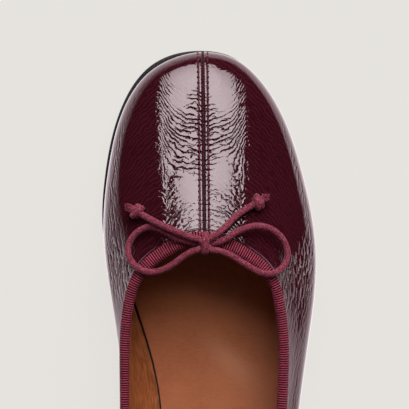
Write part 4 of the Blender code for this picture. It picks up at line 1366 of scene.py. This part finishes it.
def evenly_spaced(points, every):
    """The line through the points, as points about every apart."""
    run = distance_along(points)
    wanted = np.linspace(0, run[-1], max(2, round(run[-1] / every)) + 1)
    return np.column_stack([np.interp(wanted, run, points[:, axis]) for axis in range(3)])


def laid_route(route, centre):
    """The route in the shoe's frame, lifted smoothly where it would sink into what is under it."""
    fine = smooth_route(route, LAYING_STEP) + centre
    half = [CORD_DIAMETER / 2 + GAP] * 3
    rests = np.array([rest_height(x, y, half) for x, y, z in fine])
    heights = np.maximum(fine[:, 2], rests)
    reach = round(CORD_EASE / LAYING_STEP)
    padded = np.pad(heights, reach, mode="edge")
    crests = np.array([padded[i : i + 2 * reach + 1].max() for i in range(len(fine))])
    padded = np.pad(crests, reach, mode="edge")
    eased = np.array([padded[i : i + 2 * reach + 1].mean() for i in range(len(fine))])
    lifted = np.clip((rests - fine[:, 2]) / CORD_DIAMETER + 1, 0, 1)
    fine[:, 2] = heights + (eased - heights) * lifted
    return fine


def lay_on_cord(points):
    """Lets later cords rest on a cord with this centre line."""
    run = unit(np.gradient(points, axis=0)[:, :2])
    across = np.column_stack([-run[:, 1], run[:, 0], np.zeros(len(run))])
    skin = np.moveaxis(CORD_DIAMETER / 2 * circles(across, np.array((0.0, 0.0, 1.0)), 16)[:9], 0, 1)
    return np.concatenate([resting_points, (points[:, None] + skin).reshape(-1, 3)])


def tube_frames(path):
    """Unit directions along a path, and two square to it that turn as little as they can: each step's
    side direction is the last one with its part along the path taken out."""
    run = unit(np.gradient(path, axis=0))
    sides = np.zeros_like(path)
    side = np.cross(run[0], (0.0, 0.0, 1.0))
    if np.linalg.norm(side) < 0.1:
        side = np.cross(run[0], (1.0, 0.0, 0.0))
    for i, direction in enumerate(run):
        side = unit(side - direction * side.dot(direction))
        sides[i] = side
    return run, sides, np.cross(run, sides)


def cord_tube(path, radius, squeeze=(1.0, 1.0)):
    """A round woven cord along a path, closed at both ends, as (points, faces, weave, path).

    Its skin is two sets of strands that wind opposite ways, each a small swell: the size follows the
    mean of two waves that turn one way and the other. squeeze scales its two side directions."""
    path = evenly_spaced(path, CORD_STEP)
    run, side, up = tube_frames(path)
    along = distance_along(path)
    turn = np.arange(CORD_SIDES) * 2 * math.pi / CORD_SIDES
    wind = along[:, None] * math.pi / BRAID_PITCH
    weave = np.abs(np.cos(3 * turn[None] + wind)) * 0.5 + np.abs(np.cos(3 * turn[None] - wind)) * 0.5
    from_end = np.minimum(along, along[-1] - along)
    close = np.sqrt(np.clip(from_end / (radius * 0.7), 0.0004, 1))
    size = (radius + BRAID_DEPTH * (weave - 0.75)) * close[:, None]
    ring = np.moveaxis(circles(squeeze[0] * side, squeeze[1] * up, CORD_SIDES), 0, 1)
    points = (path[:, None] + size[:, :, None] * ring).reshape(-1, 3)
    faces = [tuple(f) for f in grid_faces(len(path), CORD_SIDES, close_columns=False, close_rows=True)]
    faces.append(tuple(range(CORD_SIDES)))
    faces.append(tuple(reversed(range((len(path) - 1) * CORD_SIDES, len(path) * CORD_SIDES))))
    return points, faces, weave.ravel(), path


def cord_object(name, parts):
    """One cotton object from parts, each with points, faces and the weave's height at each point."""
    points, faces, weave = [], [], []
    for part in parts:
        start = sum(len(p) for p in points)
        points.append(part[0])
        faces += [tuple(corner + start for corner in face) for face in part[1]]
        weave.append(part[2])
    made = link_mesh(name, np.concatenate(points), faces)
    set_attribute(made, "weave", np.concatenate(weave))
    merge_close(made, 1e-7)
    made.data.materials.append(cotton)
    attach(made, "root")
    return made


def cord_finish():
    """Round braided cotton: soft burgundy strands with darker fibres, painted shade in the weave's
    valleys, and pale specks of painted highlight for the fuzz.
    """
    material, tree, shader = new_finish("cotton_cord")
    place = object_place(tree)
    fibres = noise(tree, place, 1700.0, 3.0, 0.75)
    weave = attribute(tree, "weave")
    # Painted shade: the colour darkens in the weave's valleys.
    shown = maths(tree, "MULTIPLY_ADD", weave, 0.25, remap(tree, fibres, 0.32, 0.68))
    colour = blend_colours(tree, remap(tree, shown, 0.25, 1.15), CORD_DEEP_AND_VALLEY_SHADE, CORD_COLOUR)
    # Painted highlight: pale specks for the fuzz.
    fuzz = noise(tree, place, 2300.0, 2.0, 0.7)
    colour = blend_colours(tree, remap(tree, fuzz, 0.54, 0.72, 0.0, 0.55), colour, CORD_FUZZ_HIGHLIGHT_PAINT)
    feed(tree, shader, {"Base Color": colour, "Normal": relief(tree, fibres, 0.00010)})
    feed(tree, shader, {"Roughness": 0.85, "Specular IOR Level": 0.1})
    feed(tree, shader, {"Sheen Weight": 0.08, "Sheen Roughness": 0.5})
    return material


cotton = cord_finish()
throat = section(np.zeros(1))[0]
knot_x, knot_y = throat[5], throat[6] - BOW_KNOT_INTO_OPENING
knot_centre = np.array([knot_x, knot_y, rest_height(knot_x, knot_y, BOW_KNOT_HALF) + GAP])

outer_loop = laid_route(LOOP_OUTER, knot_centre)
resting_points = lay_on_cord(outer_loop)
inner_loop = laid_route(LOOP_INNER, knot_centre)
resting_points = lay_on_cord(inner_loop)


def tail_with_knot(route):
    """A laid tail whose end is raised to its knot, with the knot's middle and the tail's run there."""
    laid = laid_route(route, knot_centre)
    run = unit((laid[-1] - laid[-4]) * (1, 1, 0))
    centre = laid[-1] + run * (TAIL_KNOT_HALF[0] + 3 * GAP)
    turn = math.atan2(run[1], run[0])
    centre[2] = rest_height(centre[0], centre[1], TAIL_KNOT_HALF, turn) + GAP
    away = np.linalg.norm(laid[:, :2] - centre[:2], axis=1) - TAIL_KNOT_HALF[0]
    laid[:, 2] = np.maximum(laid[:, 2], centre[2] - TAIL_END_SLOPE * away)
    return laid, centre, run


outer_tail, outer_knot, outer_run = tail_with_knot(TAIL_OUTER)
inner_tail, inner_knot, inner_run = tail_with_knot(TAIL_INNER)

# Each half cord passes under the wrap twice: its start, and the crossing from its loop to its tail.
START_UNDER = (0.0, -0.0004, -0.0014)
CROSS_OUTER = (0.0, -0.0006, 0.0010)
CROSS_INNER = (0.0, -0.0006, 0.0002)
ROUTE_STEP = 0.0014


def half_bow(name, loop, tail, knot, crossing):
    """One half of the bow: start under the wrap, loop, crossing and tail, up to the tail's knot."""
    start = knot_centre + START_UNDER
    route = np.concatenate([[start], loop, [knot_centre + crossing], tail, [knot]])
    route = smooth_route(evenly_spaced(route, ROUTE_STEP), LAYING_STEP)
    tube = cord_tube(route, CORD_DIAMETER / 2)
    return cord_object(name, [tube]), tube[3]


KNOT_TURN_RADIUS = 0.00180
KNOT_TURN_REACH = 0.00135
KNOT_SWAY = 0.0005
KNOT_TURNS = 1.9
KNOT_FIRST_TURN = 0.9
KNOT_WIDE = 1.12
KNOT_TALL = 0.92
KNOT_STUB = 0.0037
FRAYED_HAIRS = 240
FRAYED_SPREAD = 0.55
FRAYED_CURL = 0.45
HAIR_LENGTHS = (0.0004, 0.0009)
HAIR_RADIUS = 0.00022
HAIR_ROOT_SPREAD = 0.00075
HAIR_ROOT_REACH = 0.0011
HAIR_ROOT_SINK = 0.0004


def knot_turns(centre, run):
    """The turns of a tail's knot: the cord winds round its own run, and its two ends dive into the
    middle. The radius rises and falls as a round step at both ends."""
    share = np.linspace(0, 1, 140)
    turn = share * 2 * math.pi * KNOT_TURNS + KNOT_FIRST_TURN
    across = np.array((-run[1], run[0], 0.0))
    radius = KNOT_TURN_RADIUS * smoothstep(0, 0.12, share) * smoothstep(1, 0.88, share)
    ahead = KNOT_TURN_REACH * (1 - 2 * share) + KNOT_SWAY * np.cos(turn)
    wide = np.cos(turn)[:, None] * across * KNOT_WIDE
    wide = wide + np.sin(turn)[:, None] * np.array((0.0, 0.0, KNOT_TALL))
    return centre + ahead[:, None] * run + radius[:, None] * wide


def frayed_end(start, run, seed):
    """A short burst of cut strands, as (points, faces, weave): thin tapered hairs, each with its own aim
    and bend, that start inside the cord's end."""
    random = np.random.default_rng(seed)
    count, steps, sides = FRAYED_HAIRS, 7, 5
    aim = unit(run[None] + random.normal(0, FRAYED_SPREAD, (count, 3)) * (1, 1, 0.7))
    curl = random.normal(0, FRAYED_CURL, (count, 3))
    length = random.uniform(*HAIR_LENGTHS, count)
    aside = np.clip(random.normal(0, HAIR_ROOT_SPREAD, (count, 3)), -HAIR_ROOT_REACH, HAIR_ROOT_REACH)
    root = start - run * HAIR_ROOT_SINK + aside
    share = np.linspace(0, 1, steps)
    reach = (length[:, None] * share[None])[:, :, None]
    path = root[:, None] + (aim[:, None] + curl[:, None] * share[None, :, None]) * reach
    size = HAIR_RADIUS * (1 - 0.6 * share)
    side = unit(np.cross(aim, (0.3, 0.2, 1.0)))
    ring = circles(side, np.cross(aim, side), sides)
    points = path[:, :, None] + size[None, :, None, None] * np.moveaxis(ring, 0, 1)[:, None]
    return points.reshape(-1, 3), strand_faces(count, steps, sides), np.full(count * steps * sides, 0.85)


def tail_knot(name, centre, run, seed):
    """An overhand knot at a tail's end, and the frayed cord past it."""
    turns = cord_tube(knot_turns(centre, run), CORD_DIAMETER * 0.52)
    end = centre + run * KNOT_STUB
    stub = cord_tube(np.linspace(centre - run * 0.001, end, 12), CORD_DIAMETER * 0.62)
    return cord_object(name, [turns, stub, frayed_end(end, run, seed)])


knot_outer = tail_knot("tail_knot_outer_side", outer_knot, outer_run, 3)
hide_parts("tail_knot_outer")
knot_inner = tail_knot("tail_knot_inner_side", inner_knot, inner_run, 8)
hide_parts("tail_knot_inner")

# The wrap is the cord's own middle, pulled flat round both halves.
WRAP_WIDTH = 0.0030
WRAP_THICKNESS = 0.0018
WRAP_SWAY = 0.0003
WRAP_ROUNDING = 0.8
WRAP_OUT = (0.0002, 0.0004)


def rounded(wave):
    """A wave from -1 to 1 whose turns are a little squarer."""
    return np.sign(wave) * np.abs(wave) ** WRAP_ROUNDING


wrap_turn = np.linspace(0, 2 * math.pi, 160)
wrap_half_y = BOW_KNOT_HALF[1] + WRAP_OUT[0] - WRAP_THICKNESS / 2
wrap_half_z = BOW_KNOT_HALF[2] + WRAP_OUT[1] - WRAP_THICKNESS / 2
wrap_x = WRAP_SWAY * np.sin(wrap_turn)
wrap_y = wrap_half_y * rounded(np.cos(wrap_turn))
wrap_z = wrap_half_z * rounded(np.sin(wrap_turn))
wrap_path = knot_centre + np.column_stack([wrap_x, wrap_y, wrap_z])
wrap = cord_object("bow_wrap", [cord_tube(wrap_path, WRAP_WIDTH / 2, (WRAP_THICKNESS / WRAP_WIDTH, 1.0))])
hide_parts("bow_knot")

cord_outer, outer_path = half_bow("bow_cord_outer", outer_loop, inner_tail, inner_knot, CROSS_OUTER)
cord_inner, inner_path = half_bow("bow_cord_inner", inner_loop, outer_tail, outer_knot, CROSS_INNER)


for cord, path, nodes, pieces in (
    (cord_outer, outer_path, ("bow_loop_outer", "bow_tail_inner"), [wrap, knot_inner]),
    (cord_inner, inner_path, ("bow_loop_inner", "bow_tail_outer"), [knot_outer]),
):
    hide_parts(*nodes)


# Floor, light and camera
# A plain pale floor, a soft box that leans over the toe and draws the bright strip on the vamp, an even
# pale surround whose far parts mirror as dark, and the camera straight above.

FLOOR_COLOUR = (0.07, 0.068, 0.065)
FLOOR_GLOW = (0.740, 0.720, 0.686)
FLOOR_MIRRORED = (1.62, 1.46, 1.54)
FLOOR_FADE = 0.24
CAMERA_HEIGHT = 1.0
CAMERA_CENTRE = (-0.00195, 0.0615)
FRAME_WIDTH_ON_FLOOR = 0.1712
BOX_WIDTH = 0.96
BOX_HALF_NEAR = 0.355
BOX_HALF_FAR = 0.415
BOX_NEAR = (0.50, 1.35)
BOX_FAR = (1.07, 0.42)
BOX_ASIDE = 0.010
FLAG_ASIDE = 0.015
MIRRORED_BRIGHTNESS = 4.7
LAMP_BRIGHTNESS = 3.7
LAMP_DISTANCE = 2.5
LAMP_TURN = math.radians(12)
AROUND = 0.08
SURROUND_COLOUR = (1.0, 0.94, 0.96)
SURROUND_LEAN = 0.20
SURROUND_FALL = (0.16, -0.20)
SURROUND_MIRRORED = (0.009, 0.80)

floor_points = np.array(((-6, -6, 0), (6, -6, 0), (6, 6, 0), (-6, 6, 0)), float)
floor = link_mesh("floor", floor_points, [(0, 1, 2, 3)])
floor_material, floor_tree, floor_shader = new_finish("pale_floor")
in_mirror = add(floor_tree, "ShaderNodeLightPath").outputs["Is Glossy Ray"]
on_floor = parts_of(floor_tree, object_place(floor_tree))
past_box = []
for axis, half in (("X", BALL_WIDTH / 2), ("Y", SHOE_LENGTH / 2)):
    past = maths(floor_tree, "SUBTRACT", maths(floor_tree, "ABSOLUTE", on_floor[axis]), half)
    past_box.append(maths(floor_tree, "MAXIMUM", past, 0.0))
past_shoe = hypotenuse(floor_tree, *past_box)
fading = maths(floor_tree, "MULTIPLY_ADD", past_shoe, 1 / FLOOR_FADE, 1.0)
fading = maths(floor_tree, "DIVIDE", 1.0, fading)
glow_mirrored = blend_colours(floor_tree, fading, (0.0, 0.0, 0.0), FLOOR_MIRRORED)
floor_glow = blend_colours(floor_tree, in_mirror, FLOOR_GLOW, glow_mirrored)
feed(floor_tree, floor_shader, {"Emission Color": floor_glow, "Emission Strength": 1.0})
feed(floor_tree, floor_shader, {"Base Color": (*FLOOR_COLOUR, 1.0), "Roughness": 0.9})
feed(floor_tree, floor_shader, {"Specular IOR Level": 0.0})
floor.data.materials.append(floor_material)


def soft_box(name, brightness, mirrored, distance, turn):
    """A leaning soft box, seen from the shoe under the same angle at any distance. One of a pair is for
    the gloss and one for the matt parts, and the second stands farther off, so its light is even."""
    lamp = bpy.data.lights.new(name, "AREA")
    lamp.shape = "RECTANGLE"
    near, far = np.array(BOX_NEAR) * distance, np.array(BOX_FAR) * distance
    lamp.size = BOX_WIDTH * distance
    lamp.size_y = float(np.linalg.norm(far - near))
    lamp.energy = brightness * 4 * lamp.size * lamp.size_y
    box = bpy.data.objects.new(name, lamp)
    out, up = (near + far) / 2
    box.location = (CAMERA_CENTRE[0] + BOX_ASIDE + out * math.sin(turn), out * math.cos(turn), up)
    lean = math.atan2(near[1] - far[1], far[0] - near[0])
    box.rotation_euler = (-lean, 0, -turn)
    box.visible_diffuse = not mirrored
    box.visible_glossy = mirrored
    bpy.context.scene.collection.objects.link(box)
    return lamp


def shade_box(lamp, middle):
    """Narrows a soft box towards its near end, fades its sides a little and its far end more, as a
    flag and a scrim in front of it would."""
    lamp.use_nodes = True
    tree = lamp.node_tree
    at = parts_of(tree, add(tree, "ShaderNodeNewGeometry").outputs["Position"])
    off = maths(tree, "SUBTRACT", at["X"], middle)
    aside = maths(tree, "ABSOLUTE", off)
    half = remap(tree, at["Z"], 1.0, 0.60, BOX_HALF_NEAR, BOX_HALF_FAR)
    share = maths(tree, "DIVIDE", aside, half)
    inside = remap(tree, share, 1.04, 0.96)
    even = maths(tree, "MULTIPLY_ADD", maths(tree, "MULTIPLY", share, share), -0.30, 1.0)
    end = remap(tree, off, 0.04, 0.18, 0.45, 0.62)
    past_end = maths(tree, "SUBTRACT", at["Z"], end)
    shown = remap(tree, past_end, 0.0, 0.03)
    scrim = remap(tree, past_end, 0.0, 0.45, 0.66, 1.0)
    side_share = maths(tree, "MULTIPLY", inside, even)
    strength = maths(tree, "MULTIPLY", side_share, maths(tree, "MULTIPLY", shown, scrim))
    feed(tree, tree.nodes["Emission"], {"Strength": strength})


mirrored_lamp = soft_box("mirrored_soft_box", MIRRORED_BRIGHTNESS, True, 1.0, 0.0)
shade_box(mirrored_lamp, CAMERA_CENTRE[0] + FLAG_ASIDE)
soft_box("lighting_soft_box", LAMP_BRIGHTNESS, False, LAMP_DISTANCE, LAMP_TURN)

world = bpy.data.worlds.new("surround")
world.use_nodes = True
bpy.context.scene.world = world
sky = world.node_tree
in_gloss = add(sky, "ShaderNodeLightPath").outputs["Is Glossy Ray"]
aim = parts_of(sky, add(sky, "ShaderNodeTexCoord").outputs["Generated"])
leaning = maths(sky, "MULTIPLY_ADD", aim["X"], SURROUND_LEAN, aim["Z"])
glow = remap(sky, leaning, *SURROUND_FALL, *SURROUND_MIRRORED)
lit = maths(sky, "MULTIPLY", maths(sky, "SUBTRACT", 1.0, in_gloss), AROUND)
strength = maths(sky, "MULTIPLY_ADD", in_gloss, glow, lit)
feed(sky, sky.nodes["Background"], {"Color": (*SURROUND_COLOUR, 1.0), "Strength": strength})
bpy.context.scene.view_settings.view_transform = "Standard"

camera_data = bpy.data.cameras.new("camera")
camera_data.sensor_width = 36
camera_data.lens = 36 * CAMERA_HEIGHT / FRAME_WIDTH_ON_FLOOR
camera = bpy.data.objects.new("camera", camera_data)
camera.location = (*CAMERA_CENTRE, CAMERA_HEIGHT)
bpy.context.scene.collection.objects.link(camera)
bpy.context.scene.camera = camera
